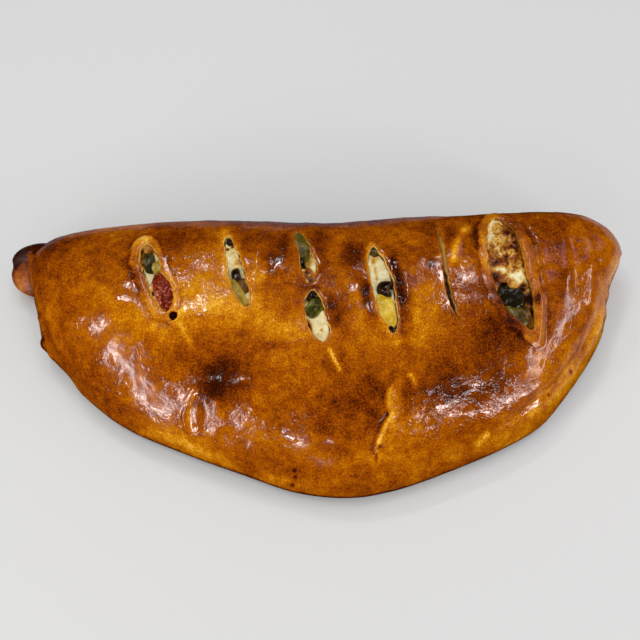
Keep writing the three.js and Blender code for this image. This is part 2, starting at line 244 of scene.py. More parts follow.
def paint(piece: Piece, name: str, values: Array) -> None:
    """Stores a share from 0 to 1 at each point of a mesh, for the finish to read by its name."""
    layer = piece.data.attributes.new(name, "FLOAT", "POINT")
    layer.data.foreach_set("value", np.clip(values, 0, 1).astype(np.float32))


def turned(points: Array, turn: float, tilt: float = 0.0, roll: float = 0.0) -> Array:
    """Rolls points about X, tilts them about Y and turns them about Z.

    Args:
        points: Rows of x, y and z.
        turn: Degrees about Z.
        tilt: Degrees about Y.
        roll: Degrees about X.

    Returns:
        The turned points.
    """
    spin = Matrix.Identity(3)
    for angle, axis in ((turn, "Z"), (tilt, "Y"), (roll, "X")):
        spin = spin @ Matrix.Rotation(math.radians(angle), 3, axis)
    return points @ np.array(spin).T


def curve_through(rows: Rows, steps: int, closed: bool = False) -> Array:
    """Draws a smooth line through rows of numbers.

    Args:
        rows: Points that the line passes through.
        steps: Points between each two rows.
        closed: Whether the line returns to its start.

    Returns:
        The line's points.
    """
    knots = np.array(rows, float)
    if not closed:
        knots = np.vstack([2 * knots[0] - knots[1], knots, 2 * knots[-1] - knots[-2]])
    count = len(knots)
    spans = range(count) if closed else range(1, count - 2)
    share = np.linspace(0, 1, steps, endpoint=False)[:, None]
    parts = []
    for span in spans:
        before, start, end, after = (knots[(span + k) % count] for k in (-1, 0, 1, 2))
        parts.append(0.5 * (2 * start + (end - before) * share
                            + (2 * before - 5 * start + 4 * end - after) * share**2
                            + (3 * start - before - 3 * end + after) * share**3))
    if not closed:
        parts.append(knots[-2:-1])
    return np.vstack(parts)


GRADIENTS = np.array([p for p in product((-1, 0, 1), repeat=3) if sum(map(abs, p)) == 2], float)


@dataclass(frozen=True)
class Grain:
    """Smooth, repeatable noise of one real size."""

    size: float
    seed: int
    octaves: int = 1
    amount: float = 1.0

    def at(self, points: Array) -> Array:
        """Reads the noise.

        Args:
            points: Rows of x, y and z in millimetres.

        Returns:
            A number for each point, from about minus the amount to plus the amount.
        """
        layers = (self._layer(points / self.size * 2**octave, self.seed + octave) / 2**octave
                  for octave in range(self.octaves))
        return self.amount * (1.4 * sum(layers))

    @staticmethod
    def _layer(cells: Array, seed: int) -> Array:
        """Reads one layer of gradient noise.

        Args:
            cells: Points measured in cells.
            seed: Which pattern to draw.

        Returns:
            A number for each point.
        """
        table = np.random.default_rng(seed).permutation(256)
        corner = np.floor(cells).astype(int)
        inside = cells - corner
        fade = inside**3 * (inside * (inside * 6 - 15) + 10)
        noise = np.zeros(len(cells))
        for step in product((0, 1), repeat=3):
            at = corner + step
            code = table[(table[(table[at[:, 0] & 255] + at[:, 1]) & 255] + at[:, 2]) & 255]
            share = np.prod(np.where(np.array(step) == 1, fade, 1 - fade), axis=1)
            noise += share * np.sum(GRADIENTS[code % 12] * (inside - step), axis=1)
        return noise


@dataclass(frozen=True)
class Patch:
    """A soft oval in the plan that adds an amount, of height or of browning."""

    x: float
    y: float
    long: float
    wide: float
    amount: float
    turn: float = 0.0

    def at(self, plan: Array) -> Array:
        """Reads the patch.

        Args:
            plan: Rows of x and y.

        Returns:
            What the patch adds at each point.
        """
        cos, sin = math.cos(math.radians(self.turn)), math.sin(math.radians(self.turn))
        dx, dy = plan[:, 0] - self.x, plan[:, 1] - self.y
        along, across = (dx * cos + dy * sin) / self.long, (dy * cos - dx * sin) / self.wide
        return self.amount * np.exp(-(along**2 + across**2) ** 1.3)


@dataclass(frozen=True)
class Stroke:
    """A soft line in the plan that adds an amount, and fades towards its ends."""

    path: Rows
    wide: float
    amount: float
    aside: float = 0.0

    def at(self, plan: Array) -> Array:
        """Reads the stroke.

        Args:
            plan: Rows of x and y.

        Returns:
            What the stroke adds at each point.
        """
        line = curve_through(self.path, 12)
        line[:, 0] += self.aside
        near = rows_near(plan, line, 3 * self.wide)
        gap = np.linalg.norm(plan[near, None, :] - line[None, :, :], axis=2)
        share = gap.argmin(axis=1) / (len(line) - 1)
        fade = np.clip(6 * np.minimum(share, 1 - share) + 0.25, 0, 1)
        result = np.zeros(len(plan))
        result[near] = self.amount * fade * np.exp(-((gap.min(axis=1) / self.wide) ** 2))
        return result


Mark = Patch | Stroke


def rows_near(plan: Array, line: Array, reach: float) -> Array:
    """Finds the rows of x and y that lie within reach of a line's box, by their numbers."""
    low, high = line.min(axis=0) - reach, line.max(axis=0) + reach
    return np.flatnonzero(np.all((plan > low) & (plan < high), axis=1))


def total(marks: tuple[Mark | Grain, ...], places: Array) -> Array:
    """Sums up what marks or grains add at each place."""
    return sum(mark.at(places) for mark in marks)


def patches(*rows: tuple[float, ...]) -> tuple[Patch, ...]:
    """Makes patches from rows of x, y, half length, half width, amount and, if it has one, turn."""
    return tuple(Patch(*row) for row in rows)


def strokes(*rows: tuple[Rows | float, ...]) -> tuple[Stroke, ...]:
    """Makes strokes from rows of a path, half width, amount and, if it has one, shift aside."""
    return tuple(Stroke(*row) for row in rows)


# ---- Finishes ----------------------------------------------------


@dataclass(frozen=True)
class Nodes:
    """Adds nodes to a material. What feeds a node is a value, an output socket or another node."""

    tree: bpy.types.NodeTree

    def add(self, kind: str, inputs: Inputs, **settings: object) -> Node:
        """Adds a shader node.

        Args:
            kind: The node's type name, without the words that all of them begin with.
            inputs: What its inputs are given, by name or number.
            settings: Attributes to set on the node.

        Returns:
            The new node.
        """
        node = self.tree.nodes.new("ShaderNode" + kind)
        for key, value in settings.items():
            setattr(node, key, value)
        plug(self.tree, node, inputs)
        return node

    def painted(self, name: str) -> bpy.types.NodeSocket:
        """Reads the share that paint has stored under a name."""
        return self.add("Attribute", {}, attribute_name=name).outputs["Fac"]

    def noise(self, size: float, detail: float, roughness: float, distortion: float = 0.0) -> Node:
        """Adds noise that is fixed to the piece, with cells of a size in millimetres."""
        place = self.add("TexCoord", {}).outputs["Object"]
        return self.add("TexNoise", {"Vector": place, "Scale": 1 / (size * MM), "Detail": detail,
                                     "Roughness": roughness, "Distortion": distortion})

    def math(self, operation: str, *values: object, clamp: bool = False) -> Node:
        """Works out a sum or product, kept between 0 and 1 where it is clamped."""
        return self.add("Math", dict(enumerate(values)), operation=operation, use_clamp=clamp)

    def centred(self, noise: Node, amount: float) -> Node:
        """Scales noise to an amount, half of it on either side of zero."""
        return self.math("MULTIPLY_ADD", noise, amount, -0.5 * amount)

    def ranged(self, value: Node, before: Pair, after: Pair) -> Node:
        """Maps a value from its range before to its range after."""
        return self.add("MapRange", {"Value": value, "From Min": before[0], "From Max": before[1],
                                     "To Min": after[0], "To Max": after[1]})

    def ramp(self, value: Node, *stops: tuple[float, str]) -> Node:
        """Turns a value into a colour.

        Args:
            value: What the colour goes by.
            stops: Place and hex colour of each stop, the first and the last one foremost.

        Returns:
            The new node.
        """
        node = self.add("ValToRGB", {"Fac": value})
        elements = node.color_ramp.elements
        for number, (place, code) in enumerate(stops):
            stop = elements[number] if number < 2 else elements.new(place)
            stop.position = place
            stop.color = to_linear(code)
        return node

    def bump(self, height: Node, strength: float, relief: float) -> Node:
        """Tilts the surface as if it had a relief of some millimetres."""
        return self.add("Bump", {"Height": height, "Strength": strength, "Distance": relief * MM})


@dataclass(frozen=True)
class Finish:
    """What every finish shares: a name, and a shader that takes what the finish works out."""

    name: str

    def inputs(self, nodes: Nodes) -> Inputs:
        """Works out what the shader's inputs are given, in each finish's own way."""
        raise NotImplementedError

    def make(self) -> bpy.types.Material:
        """Makes the material.

        Returns:
            The new material.
        """
        material = bpy.data.materials.new(self.name)
        material.use_nodes = True
        tree = material.node_tree
        plug(tree, tree.nodes["Principled BSDF"], self.inputs(Nodes(tree)))
        return material


@dataclass(frozen=True)
class GlazedCrust(Finish):
    """Yeast dough brushed with egg and oven baked: thin clear glaze over browned, finely wrinkled skin."""

    name: str = "egg_glazed_baked_dough"
    speckle: float = 0.8
    mottle: float = 4.0
    wrinkle: float = 1.2

    def inputs(self, nodes: Nodes) -> Inputs:
        """Works out the shader: browning and painted light set the colour, and wrinkles break up the shine of
        the glaze.

        Args:
            nodes: Adds nodes to the material.

        Returns:
            What the shader's inputs are given.
        """
        bake, crumb, matte = map(nodes.painted, ("bake", "crumb", "matte"))
        fine, broad = nodes.noise(self.speckle, 2.0, 0.7), nodes.noise(self.mottle, 3.0, 0.6)
        grain = nodes.math("ADD", nodes.centred(fine, 0.92), nodes.centred(broad, 0.44))
        # The bake paint added up here carries painted shade and highlights as well as browning.
        browned = nodes.math("ADD", bake, grain, clamp=True)
        tone = nodes.ramp(
            browned, (0.0, "eebb4e"), (1.0, "290b03"), (0.16, "d6920f"), (0.34, "b66903"), (0.52, "974a02"),
            (0.68, "773302"), (0.84, "4e1c02"),
        )
        # Crumb runs from pale to near black; its dark end is painted shade deep down the cut walls.
        crumb_and_wall_shade_tone = nodes.ramp(browned, (0.0, "f0cf78"), (1.0, "1d0d03"), (0.3, "d29a34"), (0.62, "6e400c"))
        colour = nodes.add("Mix", {0: crumb, 6: tone, 7: crumb_and_wall_shade_tone}, data_type="RGBA")

        wet = nodes.ranged(broad, (0.35, 0.65), (0.06, 0.12))
        rough = nodes.math("MULTIPLY_ADD", matte, 0.5, wet, clamp=True)

        ruffled = nodes.ranged(broad, (0.48, 0.68), (0.16, 0.8))
        calm = nodes.math("MULTIPLY_ADD", matte, -4.0, 1.0, clamp=True)
        wrinkles = nodes.noise(self.wrinkle, 2.0, 0.55, 0.8)
        height = nodes.math("MULTIPLY", wrinkles, nodes.math("MULTIPLY", calm, ruffled))
        return {"Base Color": colour.outputs[2], "Roughness": rough, "IOR": 1.5,
                "Normal": nodes.bump(height, 0.6, 0.35)}


@dataclass(frozen=True)
class MeltedCheese(Finish):
    """Melted mozzarella and ricotta: damp, creamy curd that browns in blisters where the oven reaches it."""

    name: str = "melted_mozzarella"
    curd: float = 1.6

    def inputs(self, nodes: Nodes) -> Inputs:
        """Works out the shader: the toast paint, with painted shade in it, takes the cream through gold to
        red brown.

        Args:
            nodes: Adds nodes to the material.

        Returns:
            What the shader's inputs are given.
        """
        curds = nodes.noise(self.curd, 3.0, 0.6)
        toasted = nodes.math("ADD", nodes.painted("toast_and_shade"), nodes.centred(curds, 0.3), clamp=True)
        tone = nodes.ramp(
            toasted, (0.0, "e9e2bc"), (1.0, "220d05"), (0.16, "dccb8e"), (0.32, "cb9b3e"), (0.48, "a66a14"),
            (0.66, "80400f"), (0.84, "54220a"),
        )
        return {"Base Color": tone, "Roughness": 0.26, "IOR": 1.42, "Normal": nodes.bump(curds, 0.5, 0.3)}


@dataclass(frozen=True)
class CookedFilling(Finish):
    """A softened, oily piece of vegetable or meat: a glossy skin over paler flesh."""

    deep: str
    mid: str
    light: str
    grain: float
    rough: float
    relief: float
    marbling: float = 0.7

    def inputs(self, nodes: Nodes) -> Inputs:
        """Works out the shader: the colour goes from skin to flesh, broken up by the grain.

        Args:
            nodes: Adds nodes to the material.

        Returns:
            What the shader's inputs are given.
        """
        grain = nodes.noise(self.grain, 3.0, 0.6)
        mixed = nodes.math("ADD", nodes.painted("flesh"), nodes.centred(grain, self.marbling), clamp=True)
        tone = nodes.ramp(mixed, (0.1, self.deep), (0.95, self.light), (0.45, self.mid))
        return {"Base Color": tone, "Roughness": self.rough, "IOR": 1.45,
                "Normal": nodes.bump(grain, 0.5, self.relief)}


@dataclass(frozen=True)
class PaleTabletop(Finish):
    """A plain matt white tabletop for the piece to stand on: an even, slightly cool white."""

    name: str = "matt_white_laminate"

    def inputs(self, nodes: Nodes) -> Inputs:
        """Works out the shader, which needs no further node."""
        return {"Base Color": to_linear("d0d2d1"), "Roughness": 0.6, "Specular IOR Level": 0.2}


class Filling(Enum):
    """The kinds of filling, each with its finish."""

    DARK_PEPPER = CookedFilling("roasted_dark_pepper", "191203", "40340a", "77651a", 2.0, 0.24, 0.2)
    GREEN_PEPPER = CookedFilling("cooked_green_pepper", "2b2a04", "625f08", "a09a34", 2.5, 0.2, 0.2)
    PALE_PEPPER = CookedFilling("soft_pale_pepper", "846a18", "b09638", "dccb8c", 2.4, 0.24, 0.2)
    YELLOW_PEPPER = CookedFilling("soft_yellow_pepper", "bf961a", "dfc244", "f2e4a6", 3.0, 0.22, 0.2)
    BROWN_PEPPER = CookedFilling("browned_pepper", "442803", "825606", "b4893a", 1.8, 0.24, 0.2)
    SAUSAGE = CookedFilling("cured_red_sausage", "571004", "a03a14", "f2c2a0", 1.0, 0.1, 0.8, 2.4)
    OLIVE = CookedFilling("ripe_black_olive", "0a0402", "24140b", "654225", 1.6, 0.16, 0.2)


def wear(piece: Piece, finish: Finish) -> None:
    """Smooths a finished piece and gives it its finish.

    Args:
        piece: The piece.
        finish: Its finish, which is made once for all that wear it.
    """
    piece.data.materials.clear()
    piece.data.materials.append(bpy.data.materials.get(finish.name) or finish.make())
    pick_only(piece)
    bpy.ops.object.shade_smooth()
    LOG.info("%s: %d faces", piece.name, len(piece.data.polygons))


# ---- The form of the dough ---------------------------------------


@dataclass(frozen=True)
class HalfMoon:
    """The folded half moon of dough: its widest edge, its crown line and the slopes between them.

    The space inside has the same form, with its plan drawn in towards hollow_y.
    """

    crown: float = 55.0
    crown_fall: float = 0.13
    crown_reach: float = 92.0
    spine_share: float = 0.55
    spine_y: float = 14.0
    front_power: float = 1.75
    fold_power: float = 2.35
    wave: float = 0.7
    least_rise: float = 1.5
    wall: float = 6.0
    hollow: Pair = (0.9, 0.84)
    hollow_y: float = 8.0
    half_width: float = 70.0
    edge: Rows = (
        # x, y, z
        (162.6, 56, 17), (158, 62.6, 20.5), (150.8, 68.1, 22.5), (139, 71.8, 24), (120, 72.4, 24.5),
        (96, 71.5, 25), (66, 69, 25), (36, 67, 25), (12, 64.5, 24), (-12, 65, 24), (-40, 66.5, 24),
        (-70, 67, 23), (-98, 65.3, 21), (-124, 62.4, 18.5), (-142, 59, 15.5), (-152, 52, 12),
        (-153, 42, 10.5), (-150, 30, 10.5), (-145.8, 16, 8), (-142.5, 3.5, 7), (-135, -5.5, 6.5),
        (-128, -12, 6), (-117.5, -23.5, 6), (-95, -39, 5), (-66, -51, 5), (-36, -61.5, 5), (-10, -69.8, 5),
        (14, -72.3, 5), (35, -69.5, 5), (56, -63, 5), (91, -49.3, 5), (113, -36.8, 5.5), (131, -17.5, 6),
        (140, -5.5, 7), (148.2, 8, 8), (151.5, 21, 9), (154.6, 32, 10.5), (159.8, 43, 13), (162.4, 50, 15),
    )

    def crown_height(self, x: Array) -> Array:
        """Height of the crown line at each x."""
        return self.crown * (1 - self.crown_fall * np.abs(x / self.crown_reach) ** 2.2)

    def waves(self, x: Array, y: Array) -> Array:
        """Height of the slow waves in the dough at each x and y."""
        broad = np.sin(x / 17 + 0.6) * np.cos(y / 13 + 0.4)
        return self.wave * (broad + 0.6 * np.sin(x / 9.5 - y / 12))

    def inside(self, name: str, gap: float = 0.0) -> Piece:
        """Models the space inside the dough, smaller all round by a gap."""
        along, across = (share - gap / self.half_width for share in self.hollow)
        return self.mesh(name, 60, 14, (along, across), self.wall + gap)

    def mesh(self, name: str, columns: int, rows: int, scale: Pair = (1.0, 1.0),
             inset: float = 0.0) -> Piece:
        """Wraps a grid round the half moon.

        Args:
            name: The new piece's name.
            columns: Faces along the length.
            rows: Faces from the edge up to the crown.
            scale: How much of the plan's length and width to keep.
            inset: How far the crown comes down and the underside comes up.

        Returns:
            A closed mesh piece.
        """
        under, flat = max(rows // 6, 2), max(rows // 4, 2)
        count = 2 * rows + 2 * under + flat
        piece = add_piece(bpy.ops.mesh.primitive_grid_add, size=2, x_subdivisions=columns,
                          y_subdivisions=count)
        piece.name = name
        grid = points_of(piece) * MM
        step = np.rint((grid[:, 1] + 1) / 2 * count).astype(int)
        front, back = self._sides((grid[:, 0] + 1) / 2, scale)
        in_front = (step <= rows) | (step >= 2 * rows + under + flat)
        side = np.where(in_front[:, None], front, back)
        points = self._over(side, np.minimum(step, 2 * rows - step) / rows, inset)
        turn = np.clip(np.minimum(step - 2 * rows, count - step) / under, 0, 1)
        points = np.where((step > 2 * rows)[:, None], self._under(side, turn, inset), points)
        near, far = (self._under(edge, np.ones(len(grid)), inset) for edge in (front, back))
        share = ((step - 2 * rows - under) / flat)[:, None]
        points = np.where((share > 0) & (share < 1), far + (near - far) * share, points)
        set_points(piece, points)
        weld(piece)
        return piece

    def _sides(self, stations: Array, scale: Pair) -> list[Array]:
        """Finds the front and the back edge at places along the length.

        Args:
            stations: Share of the way from the left tip to the right one, from 0 to 1.
            scale: How much of the plan's length and width to keep.

        Returns:
            Front and back points, one row for each station.
        """
        loop = curve_through(self.edge, 80, closed=True)
        loop[:, 0] *= scale[0]
        loop[:, 1] = self.hollow_y + (loop[:, 1] - self.hollow_y) * scale[1]
        left, right = loop[:, 0].argmin(), loop[:, 0].argmax()
        loop = np.roll(loop, -left, axis=0)
        right = (right - left) % len(loop)
        front, back = loop[: right + 1], np.vstack([loop[right:], loop[:1]])[::-1]
        x = loop[0, 0] + (loop[right, 0] - loop[0, 0]) * (1 - np.cos(math.pi * stations)) / 2
        return [np.column_stack([x] + [np.interp(x, side[:, 0], side[:, k]) for k in (1, 2)])
                for side in (front, back)]

    def _over(self, side: Array, climb: Array, inset: float) -> Array:
        """Places points on the slopes, which have slow waves on the outside of the dough.

        Args:
            side: The edge point under each point.
            climb: Share of the way from the edge to the crown line.
            inset: How far the crown comes down and the underside comes up.

        Returns:
            The points.
        """
        angle = np.clip(climb, 0, 1) * math.pi / 2
        power = self.front_power + (self.fold_power - self.front_power) * smoothstep(-20, 50, side[:, 1])
        out, rise = np.cos(angle) ** (2 / power), np.sin(angle) ** (2 / power)
        x = side[:, 0] * (out + self.spine_share * (1 - out))
        y = self.spine_y + (side[:, 1] - self.spine_y) * out
        foot = np.maximum(side[:, 2], inset + self.least_rise)
        top = self.crown_height(side[:, 0] * self.spine_share) - inset
        wavy = 0.0 if inset else self.waves(x, y) * rise
        return np.column_stack([x, y, foot + (top - foot) * rise + wavy])

    def _under(self, side: Array, turn: Array, inset: float) -> Array:
        """Places points round the rolled-under edge.

        Args:
            side: The edge point over each point.
            turn: Share of the way from the edge to the underside.
            inset: How far the underside comes up.

        Returns:
            The points.
        """
        angle = turn * math.pi / 2
        rise = np.maximum(side[:, 2] - inset, self.least_rise)
        span = np.hypot(side[:, 0] * (1 - self.spine_share), side[:, 1] - self.spine_y)
        tuck = rise * (1 - np.cos(angle)) / span
        return np.column_stack([
            side[:, 0] * (1 - tuck * (1 - self.spine_share)),
            side[:, 1] + (self.spine_y - side[:, 1]) * tuck,
            inset + rise * (1 - np.sin(angle)),
        ])


class Skin:
    """The uncut outside of the dough, to find heights and depths on."""

    def __init__(self, piece: Piece) -> None:
        """Takes a copy of a piece's outside as it is now."""
        faces = [tuple(face.vertices) for face in piece.data.polygons]
        self.tree = BVHTree.FromPolygons([tuple(p) for p in points_of(piece)], faces)

    def height(self, x: float, y: float) -> float:
        """Height of the top over the base at one place, or 0 beside the dough."""
        hit = self.tree.ray_cast((x, y, 200.0), (0.0, 0.0, -1.0))[0]
        return 0.0 if hit is None else hit.z

    def heights(self, plan: Array) -> Array:
        """Height of the top at each row of x and y."""
        return np.array([self.height(x, y) for x, y in plan])

    def depths(self, points: Array) -> Array:
        """How far each point lies from the skin."""
        return np.array([self.tree.find_nearest(tuple(p))[3] for p in points])


@dataclass(frozen=True)
class Rim:
    """Puffed dough along one side of a cut: its width, height, browning, and how much it keeps of that."""

    width: float
    height: float
    tone: float
    share: float


@dataclass(frozen=True)
class Slit:
    """A cut in the dough that the oven pulled open, from the fold towards the front.

    Its path is rows of x, y and half width, and the recess is how deep the cheese lies in it. It leans about
    the height of its hinge. A soft one has no painted shade in a crease round its rim, and a late one is cut
    last of all.
    """

    name: str
    path: Rows
    recess: float
    left: Rim
    right: Rim
    lean: float = 0.0
    ragged: float = 0.35
    ragged_size: float = 3.2
    crease: float = 0.0
    golden: float = 0.0
    soft: bool = True
    late: bool = False
    hinge: float = 52.0
    steps: int = 14
    within: float = 14.0
    foot: float = 34.0
    head: float = 75.0
    rings: int = 36
    seed: int = 40

    def line(self) -> Array:
        """Middle line of the cut, as rows of x, y and half width."""
        return curve_through(self.path, self.steps)

    def across(self) -> Array:
        """Finds which way is left of the cut.

        Returns:
            The direction at each point of the middle line.
        """
        along = np.gradient(self.line()[:, :2], axis=0)
        along /= np.linalg.norm(along, axis=1)[:, None]
        return np.column_stack([along[:, 1], -along[:, 0]])

    def reach(self, plan: Array) -> tuple[Array, ...]:
        """Measures from the cut's outline.

        Args:
            plan: Rows of x and y.

        Returns:
            Which rows are near, and for those the distance out from the outline, the side (1 is left),
            and the share of the way along the cut.
        """
        line, across = self.line(), self.across()
        near = rows_near(plan, line[:, :2], self.within)
        offset = plan[near, None, :] - line[None, :, :2]
        gap = np.linalg.norm(offset, axis=2) - line[None, :, 2]
        best = gap.argmin(axis=1)
        rows = np.arange(len(near))
        side = np.sum(offset[rows, best] * across[best], axis=1)
        blend = np.clip(side / np.maximum(np.linalg.norm(offset[rows, best], axis=1), 0.5), -1, 1)
        return near, gap[rows, best], blend, best / (len(line) - 1)

    def rim(self, blend: Array, *names: str) -> list[Array]:
        """Mixes values of the right rim at side -1 with those of the left rim at side 1."""
        share = smoothstep(-0.8, 0.8, blend)
        return [getattr(self.right, name) * (1 - share) + getattr(self.left, name) * share for name in names]

    def outline(self, margin: float) -> Array:
        """Draws the ragged outline of the cut.

        Args:
            margin: How far out to move it.

        Returns:
            Rows of x and y, round the outline.
        """
        line, across = self.line(), self.across()
        sides = []
        for sign in (1, -1):
            wobble = self.ragged * Grain(self.ragged_size, self.seed + sign, 2).at(line * (1, 1, 0))
            half = np.maximum(line[:, 2] + margin + wobble * np.minimum(line[:, 2], 1.5), 0.25)
            sides.append((line[:, :2] + sign * across * half[:, None])[::sign])
        return np.vstack(sides)

    def knife(self) -> Piece:
        """Makes the knife: a prism over the outline, narrower at its foot, that leans about the hinge.

        Returns:
            A closed mesh piece.
        """
        ring, foot = self.outline(0.0), self.outline(-0.5)
        foot[:, 0] -= self.lean * (self.hinge - self.foot)
        ring[:, 0] += self.lean * (self.head - self.hinge)
        rise = self.head - self.foot
        piece = add_piece(bpy.ops.mesh.primitive_circle_add, vertices=len(ring), fill_type="NGON")
        piece.name = "knife_" + self.name
        set_points(piece, np.column_stack([foot, np.full(len(foot), self.foot)]))
        bpy.ops.object.mode_set(mode="EDIT")
        bpy.ops.mesh.select_all(action="SELECT")
        for _ in range(self.rings):
            bpy.ops.mesh.extrude_region_move(TRANSFORM_OT_translate={"value": (0, 0, rise / self.rings * MM)})
        bpy.ops.object.mode_set(mode="OBJECT")
        points = points_of(piece)
        share = ((points[:, 2] - self.foot) / rise)[:, None]
        corner = np.linalg.norm(points[:, None, :2] - foot[None, :, :], axis=2).argmin(axis=1)
        points[:, :2] = foot[corner] * (1 - share) + ring[corner] * share
        set_points(piece, points)
        weld(piece, 0.0001)
        return piece


SLITS = (
    Slit("one", ((-83.5, 44.5, 0.5), (-82, 36.5, 4.3), (-77.5, 25, 4.4), (-73, 17, 5.2), (-70.2, 10, 3.8),
                 (-69.7, 5.5, 0.6)), 3.2, Rim(4.6, 0.55, 0.3, 0.85), Rim(2.8, 0.4, 0.36, 0.8),
         ragged=0.6, crease=0.25, soft=False),
    Slit("two", ((-44.6, 49.5, 0.3), (-42.2, 40.7, 2.5), (-39, 27.7, 3.7), (-36.5, 19, 4.1), (-33.5, 11.5, 3),
                 (-32, 6.3, 0.5)), 2.0, Rim(3.8, 0.2, 0.22, 0.85), Rim(2.6, 0.15, 0.32, 0.7), ragged=0.6),
    Slit("three_upper", ((-11, 51, 0.4), (-8.5, 44.6, 2.6), (-5, 34.6, 3.7), (-3.6, 26.5, 3.7),
                         (-3.4, 21, 2.6), (-3.6, 17.6, 0.8)), 2.2, Rim(1.4, 0.1, 0.46, 0.4),
         Rim(1.4, 0.1, 0.46, 0.4), ragged=0.8),
    Slit("three_lower", ((-2, 15.2, 0.8), (-1.8, 10.5, 3.7), (-0.6, 2.2, 4.7), (2, -5.4, 3.9),
                         (3.5, -10.5, 0.5)), 2.2, Rim(2.0, 0.15, 0.4, 0.6), Rim(1.8, 0.15, 0.36, 0.7),
         ragged=0.5),
    Slit("four", ((26.8, 41, 0.5), (28, 31.5, 4), (30.3, 19, 5.2), (31.6, 9, 5), (33.6, 0.5, 3.9),
                  (35, -6.6, 0.4)), 2.4, Rim(2.2, 0.2, 0.24, 0.85), Rim(1.8, 0.15, 0.4, 0.6), ragged=0.5),
    Slit("five", ((60, 54.5, 0.4), (60.1, 41, 1.3), (60.7, 25, 1.5), (62.5, 11, 1.8), (66.7, -0.6, 0.4)), 6.5,
         Rim(1.4, 0.1, 0.45, 0.5), Rim(1.6, 0.15, 0.46, 0.6), lean=0.26, ragged=0.3, late=True),
    Slit("six", ((90.5, 60, 2), (91.3, 51, 7), (91.2, 38, 9), (91.8, 25, 9.1), (94.9, 12.5, 8.2),
                 (99.3, 3, 3.6), (101.5, -3, 0.6)), 2.6, Rim(4.2, 0.8, 0.3, 0.9),
         Rim(5.4, 1.1, 0.37, 0.9), ragged=0.5, crease=0.15, golden=0.7, soft=False),
)


# ---- Crust -------------------------------------------------------


# Lines that the relief and the browning both follow: the end of a fold in the front slope, the tear that
# runs on from it, a ridge between the fifth and the sixth slit, and two scores in the front slope.
FOLD_END = ((36.2, -25.9), (33, -28.8), (31.2, -32.6), (31.2, -35.4), (32.6, -37.8))
TEAR = ((33.5, -39), (32.2, -41), (30, -44.2), (28.7, -47.4), (27.4, -50.5), (25.6, -55.5))
RIDGE = ((77, 56), (70, 46), (66, 37), (64.3, 29))
SCORE = ((5.3, -12.7), (8, -18), (11.1, -23.4))
NICK = ((41.6, -22.8), (43.4, -25.4), (44.8, -28))


